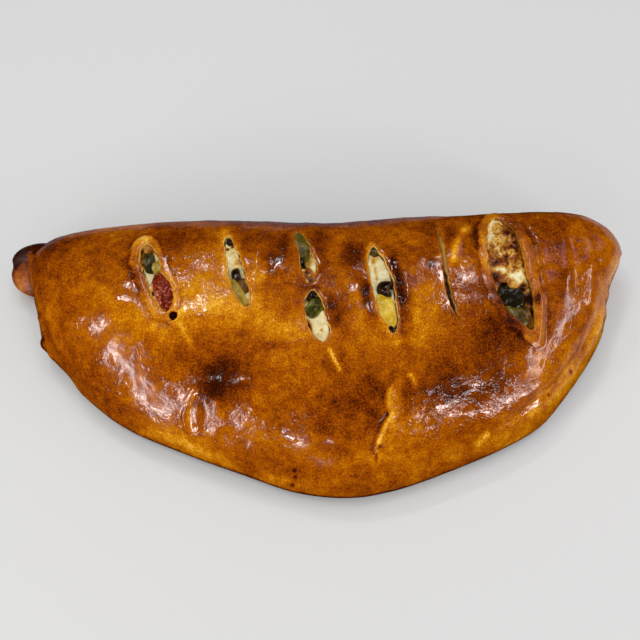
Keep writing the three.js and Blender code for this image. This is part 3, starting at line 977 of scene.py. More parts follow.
@dataclass
class Crust:
    """The baked shell of dough, with its slits, folds, tear, blister and browning.

    Its mesh is coarse for the broad relief and fine for the skin. The blister is x, y, radius and depth.
    """

    form: HalfMoon
    finish: GlazedCrust = GlazedCrust()
    coarse: float = 1.15
    fine: float = 0.98
    shaved: float = 0.25
    block: Triple = (400.0, 200.0, 100.0)
    swell: tuple[Grain, ...] = (Grain(24, 3, 2, 0.4), Grain(8, 5, 2, 0.14))
    wrinkles: tuple[Grain, ...] = (Grain(3.4, 11, 2, 0.03), Grain(1.9, 12, 1, 0.02))
    bubbles: Grain = Grain(5.2, 15)
    bubble_height: float = 0.18
    stray: tuple[Grain, Grain] = (Grain(9, 21, 2, 1.32), Grain(9, 22, 2, 1.32))
    mottling: tuple[Grain, ...] = (Grain(13, 23, 2, 0.09), Grain(4.5, 24, 3, 0.06))
    blotches: Grain = Grain(6.5, 26)
    flecks: Grain = Grain(1.6, 27, 1, 0.12)
    rim_spread: Grain = Grain(5, 33, 2, 0.3)
    rim_grain: Grain = Grain(4, 31, 3, 0.1)
    tab_grain: Grain = Grain(3, 29, 2, 0.1)
    base_bake: float = 0.54
    under_edge_shade: float = 0.7
    spot_bake: float = 0.6
    rim_crease_shade: float = 0.18
    tab_bake: float = 0.8
    tab_matte: float = 0.75
    lumps: Rows = (
        # x, y, z, half length, half width, half height, turn
        (-150.5, 46.5, 10, 17, 14, 9.5, 2), (-152, 54.5, 13, 15.5, 7.5, 8.5, 10),
        (-146, 24.5, 6.5, 3.4, 5, 5.5, 0), (-136.3, 3.2, 5.8, 10, 5, 5.6, -40),
        (162.3, 55.5, 16.5, 4, 4, 4.2, 0),
    )
    blister: tuple[float, float, float, float] = (-66, 3.6, 2.0, 4.6)
    big_relief: tuple[Mark, ...] = patches(
        (-41, -27.5, 9, 4.5, -1.6), (-44.5, -34, 5, 3.5, 0.8, -10), (8, -50, 9, 5, 1), (30, 20, 8, 26, 0.8),
        (-56, 10, 12, 10, 0.6), (66, -32, 26, 6, -0.3, 10),
    ) + strokes(
        (((37.5, 34), (41, 22), (42, 8), (41, -10)), 3.2, 1.1),
        (((19, 20), (20.5, 10), (25.5, -3)), 2.6, 0.9), (((19, 38), (16, 28), (14, 20)), 4, -0.7),
        (((79.5, 60), (77, 46), (80, 32), (85.5, 14), (92, 2)), 2, -1.4),
        (((75, 60), (75.5, 50), (75, 40)), 3, -1.6), (RIDGE, 2.4, 1.4),
        (((103, 60), (107, 44), (107.5, 28), (110, 12), (107, -2)), 2, -1.6),
        (((143, 20), (131, -3), (116, -21), (96, -36), (74, -49)), 2.4, -1),
        (((-27, 46), (-28, 34), (-28, 18)), 2.2, 0.6), (((-22, 46), (-22, 34), (-22, 24)), 2.2, -0.7),
        (((-16, 44), (-15, 34), (-14, 22)), 2.4, 0.5), (((113, 58), (113, 40), (114, 24)), 2.4, -0.6),
        (((120, 62), (121, 40), (120, 16)), 3, 0.6), (((127, 60), (127, 40), (126, 20)), 2.2, -0.6),
        (((134, 60), (135, 40), (134, 10)), 3, 0.5),
    )
    small_relief: tuple[Mark, ...] = strokes(
        (FOLD_END, 1.2, -0.4, -0.8), (FOLD_END, 1.3, 0.45, 0.9), (TEAR, 1.1, -0.6, -0.7),
        (TEAR, 1.4, 0.6, 1), (SCORE, 0.8, -0.6),
        (NICK, 0.7, -0.3),
        (((-53.4, -26.4), (-57, -31), (-60.5, -36), (-61.6, -39.6), (-60.2, -44.8)), 1.1, 0.6),
        (((-54.4, -35), (-55.4, -39), (-55, -43)), 2, 0.5),
    ) + patches(
        (-140.5, 3, 2.4, 2.2, 1.5), (-137.5, -2.5, 1.6, 2.2, 0.8), (-141, 14.5, 1.6, 1.6, 0.9),
        (147.5, 17, 1.6, 3, 0.7), (150, 27, 2, 2.4, 0.6),
    )
    # Browning marks; a few of them are painted highlight and sheen, as noted where they stand.
    browning: tuple[Mark, ...] = patches(
        (-150, 57, 9, 7, 0.34), (-150.5, 55, 4, 6, 0.24, 20), (-143, 50, 10, 9, 0.1),
        (-138, 32, 16, 24, 0.1), (-72, 46, 11, 14, 0.17), (-92, 44, 6, 8, 0.08), (-125, 48, 18, 10, 0.12),
        (52, 30, 5, 4, 0.14), (-12, 56, 20, 4, 0.08), (-103, 17, 12, 5, -0.1, -35),
        (-84, 27, 4.5, 12, 0.26, 12), (-84.5, 44, 4, 3.4, -0.16), (-56, 12, 17, 13, -0.3),
        (-85, 4, 17, 12, -0.15), (-74, 2, 9, 7, -0.18), (-52, 33, 8, 10, -0.1), (-34, 4, 15, 9, -0.22),
        (-25, 45, 16, 7, 0.12), (-20, 33, 5, 9, 0.22), (-16, 41, 4, 6, 0.2), (-28, 22, 4, 10, -0.22),
        (-6, 61, 62, 6, 0.26), (1, 46, 6, 8, 0.26), (3, 31, 4, 11, 0.18), (-2, 14.5, 4.5, 2.6, 0.42),
        (8.5, 6.5, 5.5, 8, 0.3), (9, 0.5, 2.6, 4, 0.26), (18.5, -2, 3, 7, -0.2), (16, 31, 5, 7, 0.2),
        (44, 18, 3, 5, 0.14), (47, 28, 6, 5, -0.12), (32.5, -31, 2.6, 6, -0.25),
        (64, -54, 6, 2.6, -0.26, 15), (103, -34, 3, 2, -0.25, 40), (25, -57, 5, 3, -0.2),
        (18, -50, 34, 13, -0.05), (-4, -51, 5, 3, -0.14), (5, -67, 7, 2.5, -0.12), (44, -58, 10, 5, -0.1),
        (50, -49, 6, 3, -0.12), (123, -15, 8, 5, -0.14, 50), (143, 12, 6, 14, -0.14),
        (-144, 16, 5, 14, -0.12), (-42, -20, 12, 4, 0.12), (18, 36, 6, 8, 0.24),
        (12, 12, 6, 15, -0.12, -10), (22.5, 12, 2.4, 9, 0.42, 12), (38.5, 14, 3.6, 16, 0.36, 8),
        (36, 27, 2.6, 5, 0.2), (46, -4, 3, 12, -0.12), (52, 36, 8, 6, 0.1),
        (54.5, 28.5, 3.4, 2.4, 0.22, 20), (50, 8, 9, 14, -0.16), (46, -6, 12, 7, -0.08),
        (-12, -3, 14, 7, -0.2), (-20, -11, 5, 3, 0.2), (-8, -18, 14, 6, -0.07), (10, -19, 5, 5, 0.12),
        (-49, -16, 15, 6, 0.12), (-43, -28, 14, 8, 0.35), (-46.5, -27, 6, 5, 0.16),
        (-112, -18, 14, 9, 0.1, -40), (-98, -33, 14, 6, 0.04, -30), (-55, -49, 20, 6, -0.1, -20),
        (-30, -45, 8, 5, -0.1), (10, -38, 22, 9, 0.13), (8, -49, 14, 8, 0.14), (24, -28, 7, 6, 0.18),
        (26, -42, 4.5, 5, 0.22), (33, -49, 7, 9, -0.1), (35, -36, 3, 9, -0.3, -12),
        (65, -27, 28, 9, 0.24, 8), (66, -12, 9, 9, 0.12), (84, -5, 12, 11, 0.22), (106, -16, 5, 13, -0.16),
        (26, -8, 9, 7, -0.1), (8, -12, 7, 5, -0.1), (-70, -7, 9, 7, -0.12), (75, 12, 9, 12, 0.12),
        (71, 35, 4, 8, -0.06), (67, 47, 7, 9, 0.18), (79, 48, 3.4, 14, 0.26, 5), (55, 50, 12, 8, 0.1),
        (99, 46, 4, 9, 0.3), (105.6, 13, 2, 3.2, 0.6), (113, 50, 14, 12, 0.1), (117, 22, 5, 8, 0.14),
        # On the next line, the patch at (-110, 60) pales the back left edge: painted sheen.
        (154, 36, 8, 20, -0.2), (125, 62, 20, 6, 0.08, -8), (-110, 60, 26, 4, -0.14, 2),
        (63, 12, 1.6, 12, 0.24, 5), (126, 28, 3.4, 14, -0.1), (-134, 9, 7, 13, -0.12),
        (-124, -19, 6, 5, -0.2, -40), (-139.5, 2.5, 2.2, 2.6, 0.4), (-140.5, 14.5, 1.4, 1.4, 0.3),
        (160.5, 51, 3, 3, 0.12), (-124, 12, 9, 16, -0.03), (31.4, -40, 1, 0.7, 0.5, 60),
        (28.2, -53, 1.2, 0.6, 0.5, 40), (25.8, -55.5, 0.7, 2.6, 0.5, 10), (37, -9.5, 2.2, 3.4, -0.3),
    ) + strokes(
        (((75.6, -50.5), (78, -47), (81, -44)), 1.7, -0.28),
        (((-90, -41), (-74, -44.6), (-61, -49.6), (-49, -54.2), (-38, -59.3)), 2, -0.24),
        (((-30, -62.4), (-16, -65.6), (0, -68)), 2, -0.16),
        (((81.5, 26), (85, 14), (90.5, 4), (97, -4.5)), 3, 0.46),
        (RIDGE, 2, -0.42),
        (((147, 22), (136, -4), (121, -23), (100, -39), (78, -52)), 6.5, -0.22),
        (((-139, 26), (-136, 14), (-133, 2), (-124, -12)), 3, 0.16),
        (((-63.3, 0.8), (-60, -5), (-56.4, -11.7)), 1.3, -0.22),
        (SCORE, 0.85, -0.6),
        # The next two strokes pale the ridges of the squiggle at the lower left: gold streaks with painted
        # highlight.
        (((-54, -26), (-57, -32), (-59, -37), (-58, -44)), 1.6, -0.22),
        (((-47, -33), (-45, -37), (-42, -40)), 2, -0.2),
        (NICK, 0.9, -0.5), (FOLD_END, 1, -0.22, 0.5),
        (FOLD_END, 1.2, 0.16, -1.2), (TEAR, 1.2, -0.42, 0.7), (TEAR, 1.3, 0.28, -1.1),
        (((34, 34), (37, 20), (38, 4), (38, -8)), 1.4, 0.22),
    )
    smooth_glaze: tuple[Stroke, ...] = strokes(
        (((-104, 8), (-96, -7), (-89, -16), (-81, -26), (-74, -33), (-66, -41)), 6, 0.16),
        (((98, -30), (101, -22), (106, -9), (112, 4), (120, 15), (124, 24)), 5.5, 0.17),
    )
    rim_browning: tuple[Patch, ...] = patches(
        (-84, 47, 7, 5, -0.27), (-88, 37, 4, 5, 0.1), (-84, 22, 5, 9, 0.34, 15),
        (-67, 14, 4, 12, -0.12, 10), (99, 55, 6, 8, 0.36), (83, 56, 4, 6, 0.2), (84, 14, 5, 12, 0.46, 20),
        (91, 0, 6, 6, 0.55), (104, 13, 2.2, 3.2, 0.55), (103, 34, 2.4, 14, 0.12, -4), (101, -1, 3, 5, 0.14),
        (33.5, 28, 2.5, 8, 0.34, -10), (-1, 15.5, 4, 3, 0.5), (4.8, 2, 2.2, 10, 0.3, 10),
        (22.5, 12, 3, 9, 0.32, 12), (-69, 5, 3, 3, 0.2),
    )
    tab_browning: tuple[Patch, ...] = patches(
        (-158, 56, 8, 5, 0.4, 10), (-160, 58.5, 4, 2.6, 0.4), (-163, 49.6, 2, 3, 0.6, 20),
        (-160, 51, 3, 3, 0.16), (-160, 38, 7, 6.5, -0.38), (-158, 36, 3, 3, -0.1),
    )
    freckles: Rows = (
        # x, y, radius
        (-10.2, -61.9, 0.7), (-9.8, -64.4, 0.6), (-11.4, -67.2, 0.8), (-36.3, -43.5, 0.6),
        (124.5, -14.5, 1), (111.5, -26.5, 0.7), (100.5, 22, 1.2), (66, 23, 0.6), (-14, -12, 0.4),
        (9, 49, 0.5),
    )

    def build(self) -> Skin:
        """Builds the shell.

        Returns:
            Its plain outside, before relief and cuts.
        """
        body = self.form.mesh("crust_baked", 330, 84)
        plain = Skin(body)
        self._add_lumps(body)
        remesh(body, self.coarse, 3)
        self._raise_big_relief(body)
        uncut = Skin(body)
        combine(body, join([self._drill(body)] + self._knives(late=False)), "DIFFERENCE")
        remesh(body, self.fine, 2)
        self._raise_small_relief(body)
        self._flatten_base(body)
        combine(body, join(self._knives(late=True)), "DIFFERENCE")
        combine(body, self.form.inside("hollow"), "DIFFERENCE")
        self._paint(body, uncut)
        wear(body, self.finish)
        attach(body, BODY)
        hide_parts("crust")
        return plain

    def _add_lumps(self, body: Piece) -> None:
        """Joins the lumps at the ends to the body, as balls drawn out to size.

        Args:
            body: The crust.
        """
        parts = [body]
        for x, y, z, long, wide, high, turn in self.lumps:
            ball = add_piece(bpy.ops.mesh.primitive_uv_sphere_add, segments=48, ring_count=24, radius=1)
            set_points(ball, turned(points_of(ball) * MM * (long, wide, high), turn) + (x, y, z))
            parts.append(ball)
        join(parts)

    def _raise_big_relief(self, body: Piece) -> None:
        """Lifts the rims of the slits, the folds and the slow unevenness of the dough.

        Args:
            body: The crust.
        """
        points = points_of(body)
        plan = points[:, :2]
        lift = total(self.big_relief, plan) + total(self.swell, points)
        for slit in SLITS:
            near, gap, blend, _ = slit.reach(plan)
            width, height = slit.rim(blend, "width", "height")
            out = np.maximum(gap, 0) / width
            lift[near] += height * np.sin(math.pi * np.clip(0.25 + 0.75 * out, 0, 1))
            lift[near] -= slit.crease * np.exp(-((out - 1.12) * width / 1.1) ** 2)
        push_out(body, lift, -0.2, 0.35)

    def _drill(self, body: Piece) -> Piece:
        """Makes the drill for the burst blister.

        Args:
            body: The crust that it will open.

        Returns:
            A closed mesh piece.
        """
        x, y, radius, depth = self.blister
        drill = add_piece(bpy.ops.mesh.primitive_cylinder_add, vertices=24, radius=radius * MM,
                          depth=2 * depth * MM)
        top = points_of(body)
        here = top[np.hypot(top[:, 0] - x, top[:, 1] - y) < 2][:, 2].max()
        set_points(drill, points_of(drill) + (x, y, here))
        return drill

    def _knives(self, late: bool) -> list[Piece]:
        """Makes the knives of the wide slits, or of the thin ones that are cut late."""
        return [slit.knife() for slit in SLITS if slit.late == late]

    def _raise_small_relief(self, body: Piece) -> None:
        """Adds the tear, the scores and the fine wrinkles and bubbles of the skin.

        Args:
            body: The crust.
        """
        points = points_of(body)
        lift = total(self.small_relief, points[:, :2]) + total(self.wrinkles, points)
        lift += self.bubble_height * smoothstep(0.6, 0.95, self.bubbles.at(points))
        push_out(body, lift, -0.1, 0.3)

    def _flatten_base(self, body: Piece) -> None:
        """Slices off what hangs below the base, so that the crust stands on one flat face.

        Args:
            body: The crust.
        """
        block = add_piece(bpy.ops.mesh.primitive_cube_add, size=1)
        set_points(block, points_of(block) * MM * self.block + (0, 0, self.block[2] / 2 + self.shaved))
        combine(body, block, "INTERSECT")
        points = points_of(body)
        points[:, 2] = np.where(points[:, 2] < self.shaved + 0.05, 0.0, points[:, 2])
        set_points(body, points)

    def _paint(self, body: Piece, uncut: Skin) -> None:
        """Stores how browned, how freshly cut and how matt the dough is at each point, with painted shade and
        light in the browning.

        Args:
            body: The crust.
            uncut: Its outside before it was cut.
        """
        points = points_of(body)
        plan, (x, y, z), facing_up = points[:, :2], points.T, normals_of(body)[:, 2]
        # Broad marks stray from their ovals with the grain, and small ones stay sharp.
        strayed = plan + np.column_stack([grain.at(points) for grain in self.stray])
        bake = self.base_bake + sum(mark.at(strayed if mark.wide > 2.5 else plan) for mark in self.browning)
        bake += total(self.mottling, points)
        bake += smoothstep(0.4, 0.9, self.blotches.at(points)) * self.flecks.at(points)
        # The foot of the dough, where it turns under, is darkened: painted shade under the edge.
        bake += self.under_edge_shade * smoothstep(9.5, 4, z) * smoothstep(0.75, 0.35, facing_up)
        # The foot, the back of the fold and the calm bands of the glaze shine less.
        matte = 0.1 * smoothstep(8, 3, z)
        matte = np.maximum(matte, 0.5 * smoothstep(60, 66, y) * smoothstep(0.6, 0.2, facing_up))
        matte = np.maximum(matte, total(self.smooth_glaze, strayed))
        crumb = np.zeros(len(points))
        for slit in SLITS:
            self._paint_slit(slit, points, uncut, bake, crumb, matte)
        for spot_x, spot_y, radius in self.freckles:
            bake += self.spot_bake * np.exp(-((np.hypot(x - spot_x, y - spot_y) / radius) ** 2))
        # The burst blister is dark within and pale round its edge.
        hole_x, hole_y, radius, _ = self.blister
        hole = np.hypot(x - hole_x, y - hole_y)
        bake += self.spot_bake * (hole < radius * 0.95) - 0.2 * np.exp(-(((hole - radius * 1.3) / 0.6) ** 2))
        # The flat tab at the left end has caught the heat and dried.
        tab = smoothstep(-151.5, -155, x + 0.25 * (y - 44)) * smoothstep(26, 32, y)
        matte += (self.tab_matte - matte) * tab
        tan = self.tab_bake + total(self.tab_browning, plan) + self.tab_grain.at(points)
        bake += (tan - bake) * tab
        for name, values in (("bake", bake), ("crumb", crumb), ("matte", matte)):
            paint(body, name, values)

    def _paint_slit(self, slit: Slit, points: Array, uncut: Skin, bake: Array, crumb: Array,
                    matte: Array) -> None:
        """Browns the rims of a slit, paints shade into the crease round a firm rim, and turns its walls from
        crust to crumb, with painted shade further down.

        Args:
            slit: The slit.
            points: The crust's points.
            uncut: Its outside before it was cut.
            bake: How browned each point is, with painted shade and light, which is changed in place.
            crumb: How freshly cut it is, which is changed in place.
            matte: How matt it is, which is changed in place.
        """
        near, gap, blend, along = slit.reach(points[:, :2])
        width, tone, share = slit.rim(blend, "width", "tone", "share")
        # The puffed rim has a browning of its own, which ends at its width.
        out = np.maximum(gap, 0) / width * (1 + self.rim_spread.at(points[near]))
        band = share * (np.exp(-((out / 0.6) ** 2)) if slit.soft else smoothstep(1.2, 0.75, out))
        target = tone + self.rim_grain.at(points[near]) + total(self.rim_browning, points[near, :2])
        bake[near] = bake[near] * (1 - band) + target * band
        # A firm rim gets a dark line in the crease just outside it: painted shade.
        if not slit.soft:
            bake[near] += self.rim_crease_shade * np.exp(-(((out - 1.15) * width / 0.9) ** 2))
        matte[near] = np.maximum(matte[near], (0.15 if slit.soft else 0.3) * band)
        # Within a millimetre crust turns to crumb. Further down the crumb is darkened as painted shade in the
        # cut, starting deeper in a late cut.
        cut = gap < 0.8
        walls = near[cut]
        depth = uncut.depths(points[walls])
        golden = slit.golden * smoothstep(0.3, -0.3, blend[cut]) * smoothstep(4.0, 1.5, depth)
        crumb[walls] = smoothstep(0.35, 1.1, depth) * (1 - golden)
        start = 1.2 + (2.8 - 2.8 * smoothstep(0.38, 0.56, along[cut])) * slit.late
        bake[walls] += (smoothstep(start, start + 3.2 - 1.8 * slit.late, depth) - bake[walls]) * crumb[walls]


# ---- Filling -----------------------------------------------------


@dataclass
class Cheese:
    """The melted cheese: a core that fills the hollow, and tongues that rise into the slits."""

    form: HalfMoon
    skin: Skin
    finish: MeltedCheese = MeltedCheese()
    gap: float = 0.3
    depth: float = 11.0
    deepest_dip: float = 4.5
    voxel: float = 0.55
    lumpiness: tuple[Grain, ...] = (Grain(4.2, 51, 2, 0.3), Grain(1.6, 53, 1, 0.15))
    pits: Grain = Grain(3.1, 55)
    pit_depth: float = 0.7
    blisters: Grain = Grain(3.4, 57, 2)
    blister_height: float = 0.8
    toast_grain: Grain = Grain(2.4, 61, 3, 0.08)
    blister_toast: tuple[Grain, Grain] = (Grain(3.0, 63, 3, 0.3), Grain(1.3, 65, 2, 0.26))
    curds: Rows = (
        # x, y, radius, depth under the skin
        (90, 54, 5.5, 3.4), (95.5, 47, 5, 3.2), (87.5, 44, 4.6, 3), (93, 38, 6, 3.8), (89, 31, 5, 3.4),
        (96, 27, 5.6, 3.4), (88.5, 25, 3.4, 2.5), (94, 22.2, 3.4, 2.7), (29.2, 29, 4, 3), (1, -3, 4.2, 3.2),
        (-41, 33, 2.6, 2.6), (-38.5, 27, 2.4, 2.6), (-32.4, 11.5, 2.2, 2.6), (-4, 25, 2.4, 2.6),
        (99, 22, 2.8, 3), (85.5, 52, 2.4, 2.4), (-82.6, 40.8, 2.8, 2.2), (-78.4, 17.5, 2, 1.6),
        (-76.2, 12.6, 1.8, 1.6), (-85, 33, 1.6, 2.2),
    )
    hollows: tuple[Patch, ...] = patches((94.5, 11, 13, 9, 3.6, 116), (-3, -3, 4, 1.6, 2.0, 100))
    bubbling: Patch = Patch(92, 39, 19, 10, 1.0, 90)
    toasting_and_shade: tuple[Mark, ...] = patches(
        (94, 52, 8, 5, 0.46), (94, 50.5, 1.8, 1.5, 0.5, 20), (97, 48, 2.2, 1.2, 0.4, 60),
        (86, 50, 2, 8, -0.2), (93.5, 41, 7, 2.6, 0.3, 20), (87, 42, 6, 5, 0.3), (84.5, 28, 3.4, 4, 0.3),
        (91, 20, 8, 3, 0.3, -20), (97, 44, 2.4, 8, 0.3), (88, 38, 4, 3, -0.1, 10),
        (87, 32.8, 5, 4, 0.56, 10), (91.3, 35.6, 1.6, 1.4, 0.35), (83.5, 37, 2.6, 3.4, 0.4),
        (84.5, 23, 3.4, 3.4, 0.5, -30), (86.8, 28.4, 2.6, 1, -0.4, -20), (97, 37, 4, 8, 0.4, 10),
        (93, 30, 5, 4, 0.24), (98.6, 20.5, 2, 1.8, 0.85), (101, 15.6, 2, 2.6, 0.85),
        (102.5, 9, 2, 5, 0.4, 10), (99.8, 31, 0.9, 1.2, 0.7), (100.2, 26, 0.8, 1.6, 0.7),
        (83, 47, 0.9, 0.9, 0.7), (82.8, 43.3, 0.8, 0.9, 0.7), (82.6, 38.5, 0.8, 1.1, 0.7),
        (95, 30, 0.8, 0.8, 0.5), (90.5, 25.5, 0.7, 0.7, 0.5), (88.5, 24.5, 6, 2, 0.34, -20),
        (-82.3, 40.8, 3.6, 3.4, 0.44), (-80.6, 38.5, 1.6, 1.2, 0.2), (-85, 34, 1.4, 5, 0.6, 10),
        (-77.2, 15, 1.6, 5, 0.2, 20), (-41.3, 38, 2.4, 2.4, 0.1), (-41, 40.2, 1, 0.7, 0.6, 30),
        (-43.2, 38.4, 0.8, 1, 0.9), (-40.2, 36.4, 0.7, 0.5, 0.3), (-39, 33.4, 0.5, 0.8, 0.2),
        (-42, 34, 0.6, 0.6, 0.2), (-37.2, 30.5, 0.5, 1.6, 0.2, 20), (-41.6, 30, 0.5, 0.5, 0.15),
        (-32, 10.5, 1.6, 3, 0.14, 20), (-5, 32, 3.4, 3, 0.3), (-2.6, 35.4, 0.9, 1.4, 0.3),
        (-3.8, 23, 3.2, 5.6, 0.56), (-2, 27.4, 0.8, 1.8, -0.4, 20), (-2.6, 20, 1.2, 2.4, 0.4),
        (-5, 25, 0.9, 0.9, 0.35), (-3.6, 23.4, 0.7, 0.6, -0.45), (-4.4, 20.4, 0.6, 0.8, -0.4, 30),
        (-4.6, 27, 0.8, 0.8, 0.4), (104, 10, 2.2, 7, 0.6, 15), (-38, 30, 2, 5, 0.2),
        (96.5, 22.5, 2.4, 1.2, -0.2, -30), (28, 33.5, 3, 3, 0.16), (2.2, -4.4, 0.6, 0.6, 0.5),
        # The last patch on the next line, in the dip of the third slit's lower cut, is near black: painted
        # shade in the gap.
        (0.6, -6.3, 0.5, 0.5, 0.4), (-3.4, -3.2, 1.1, 4.2, 0.9, 12),
    ) + strokes(
        (((26.6, 34), (27.4, 27), (28.4, 21)), 0.7, 0.26),
    )

    def build(self, openings: tuple[Patch, ...]) -> None:
        """Builds the cheese.

        Args:
            openings: Where pieces lie, so that the cheese dips under them.
        """
        dips = (*self.hollows, *openings)
        sheets = [self._tongue(slit, dips) for slit in SLITS]
        tongues = join(sheets + [self._curd(*row) for row in self.curds])
        remesh(tongues, self.voxel, 4)
        self._raise_curds(tongues)
        piece = self.form.inside("cheese_melted", self.gap)
        combine(piece, tongues, "UNION")
        self._paint(piece)
        wear(piece, self.finish)
        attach(piece, BODY)
        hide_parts("cheese_filling")

    def _tongue(self, slit: Slit, dips: tuple[Patch, ...]) -> Piece:
        """Lays a sheet of cheese in a slit and gives it depth.

        Args:
            slit: The slit that it fills.
            dips: Where it lies lower.

        Returns:
            A closed mesh piece.
        """
        line, across = slit.line(), slit.across()
        spans = len(line) - 1
        piece = add_piece(bpy.ops.mesh.primitive_grid_add, x_subdivisions=spans, y_subdivisions=16, size=2)
        grid = points_of(piece) * MM
        row = np.rint((grid[:, 0] + 1) / 2 * spans).astype(int)
        half = np.maximum(line[row, 2] - 0.15, 0.3)
        plan = line[row, :2] + across[row] * (half * grid[:, 1])[:, None]
        sag = slit.recess + 0.6 * (1 - grid[:, 1] ** 2) * np.minimum(half / 5, 1)
        sag += np.minimum(total(dips, plan), self.deepest_dip)
        set_points(piece, np.column_stack([plan, self.skin.heights(plan) - sag]))
        bpy.ops.object.mode_set(mode="EDIT")
        bpy.ops.mesh.select_all(action="SELECT")
        bpy.ops.mesh.extrude_region_move(TRANSFORM_OT_translate={"value": (0, 0, -self.depth * MM)})
        bpy.ops.mesh.select_all(action="SELECT")
        bpy.ops.mesh.normals_make_consistent(inside=False)
        bpy.ops.object.mode_set(mode="OBJECT")
        return piece

    def _curd(self, x: float, y: float, radius: float, down: float) -> Piece:
        """Makes one rounded curd under the skin.

        Args:
            x: Its place along the length.
            y: Its place across it.
            radius: Its radius in the plan.
            down: How far its top half starts under the skin.

        Returns:
            A closed mesh piece.
        """
        piece = add_piece(bpy.ops.mesh.primitive_ico_sphere_add, subdivisions=3, radius=1)
        ball = points_of(piece) * MM * (radius, radius, 0.45 * radius)
        set_points(piece, ball + (x, y, self.skin.height(x, y) - down - 0.45))
        return piece

    def _raise_curds(self, piece: Piece) -> None:
        """Wrinkles, blisters and pits the curd.

        Args:
            piece: The tongues of cheese.
        """
        points = points_of(piece)
        lift = total(self.lumpiness, points)
        lift += self.blister_height * self.bubbling.at(points[:, :2]) * self.blisters.at(points)
        lift -= self.pit_depth * smoothstep(0.6, 0.8, self.pits.at(points))
        push_out(piece, lift, 0.1, 0.6)

    def _paint(self, piece: Piece) -> None:
        """Stores how toasted the cheese is at each point, with painted shade in its pits and in one gap.

        Args:
            piece: The cheese.
        """
        points = points_of(piece)
        toast_and_shade = 0.1 + total(self.toasting_and_shade, points[:, :2])
        toast_and_shade += self.toast_grain.at(points)
        browning = self.bubbling.at(points[:, :2])
        coarse, fine = (grain.at(points) for grain in self.blister_toast)
        toast_and_shade += browning * (0.02 + coarse + fine)
        # Pits in the bubbling cheese are darkened: painted shade in the pits.
        toast_and_shade += 0.4 * browning * smoothstep(0.6, 0.8, self.pits.at(points))
        paint(piece, "toast_and_shade", toast_and_shade)


@dataclass(frozen=True)
class Morsel:
    """A piece of filling: its kind, its place under the skin, and how it is turned."""

    name: str
    kind: Filling
    at: Pair
    down: float
    turn: float
    tilt: float = 0.0
    roll: float = 0.0

    def seed(self, start: int) -> int:
        """Picks a seed that goes with the piece's name."""
        return start + sum(map(ord, self.name)) % 97

    def opening(self, half_length: float, half_width: float) -> Patch:
        """Marks where the cheese dips for the piece, and how deep."""
        return Patch(*self.at, 1.05 * half_length, 1.1 * half_width, 1.8, self.turn)

    def lay(self, piece: Piece, points: Array, skin: Skin, flesh: Array) -> None:
        """Turns the piece, sets it in its place and dresses it.

        Args:
            piece: The mesh piece.
            points: Its points round its own middle.
            skin: The plain outside of the dough.
            flesh: How much of each point is flesh, from 0 to 1.
        """
        x, y = self.at
        place = (x, y, skin.height(x, y) - self.down)
        set_points(piece, turned(points, self.turn, self.tilt, self.roll) + place)
        paint(piece, "flesh", flesh)
        piece.name = self.name + "_cooked"
        wear(piece, self.kind.value)
        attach(piece, BODY)
        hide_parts(self.name)


@dataclass(frozen=True)
class Chunk(Morsel):
    """A soft-cornered strip or lump, arched along its length."""

    size: Triple = (10.0, 5.0, 4.0)
    pale: float = 0.0
    boxiness: float = 0.62
    wrinkle: float = 0.25
    arch: float = 0.12

    def build(self, skin: Skin) -> None:
        """Draws a ball out into the strip, wrinkles it and lays it in the filling.

        Args:
            skin: The plain outside of the dough.
        """
        piece = add_piece(bpy.ops.mesh.primitive_uv_sphere_add, segments=56, ring_count=32, radius=1)
        ball = points_of(piece) * MM
        boxed = np.sign(ball) * np.abs(ball) ** self.boxiness
        half = np.array(self.size) / 2
        points = boxed * half
        points[:, 2] -= self.arch * half[0] * boxed[:, 0] ** 2
        set_points(piece, points)
        seed = self.seed(100)
        bumps = total((Grain(3.6, seed, 2), Grain(1.5, seed + 9, 1, 0.5)), points)
        points += normals_of(piece) * (self.wrinkle * bumps)[:, None]
        flesh = 0.42 + self.pale - 0.25 * boxed[:, 2] + 0.35 * np.abs(boxed[:, 1]) ** 4 + 0.18 * bumps
        self.lay(piece, points, skin, flesh)


@dataclass(frozen=True)
class OliveSlice(Morsel):
    """A slice of pitted olive: a ring with rounded corners, by its outer radius, hole and thickness."""

    ring: Triple = (4.0, 1.5, 3.0)
    boxiness: float = 0.7
    wrinkle: float = 0.16

    def build(self, skin: Skin) -> None:
        """Flattens a torus into the slice, wrinkles it and lays it in the filling.

        Args:
            skin: The plain outside of the dough.
        """
        outer, hole, thick = self.ring
        middle, wall = (outer + hole) / 2, (outer - hole) / 2
        piece = add_piece(bpy.ops.mesh.primitive_torus_add, major_segments=64, minor_segments=28,
                          major_radius=2, minor_radius=1)
        ring = points_of(piece) * MM
        turn = np.arctan2(ring[:, 1], ring[:, 0])
        out, up = np.hypot(ring[:, 0], ring[:, 1]) - 2, ring[:, 2]
        out, up = (np.sign(side) * np.abs(side) ** self.boxiness for side in (out, up))
        reach = middle + out * wall
        points = np.column_stack([reach * np.cos(turn), reach * np.sin(turn), up * thick / 2])
        set_points(piece, points)
        bumps = Grain(3.0, self.seed(200), 2).at(points)
        points += normals_of(piece) * (self.wrinkle * bumps)[:, None]
        self.lay(piece, points, skin, 0.3 + 0.3 * bumps + 0.25 * (np.abs(up) > 0.8))


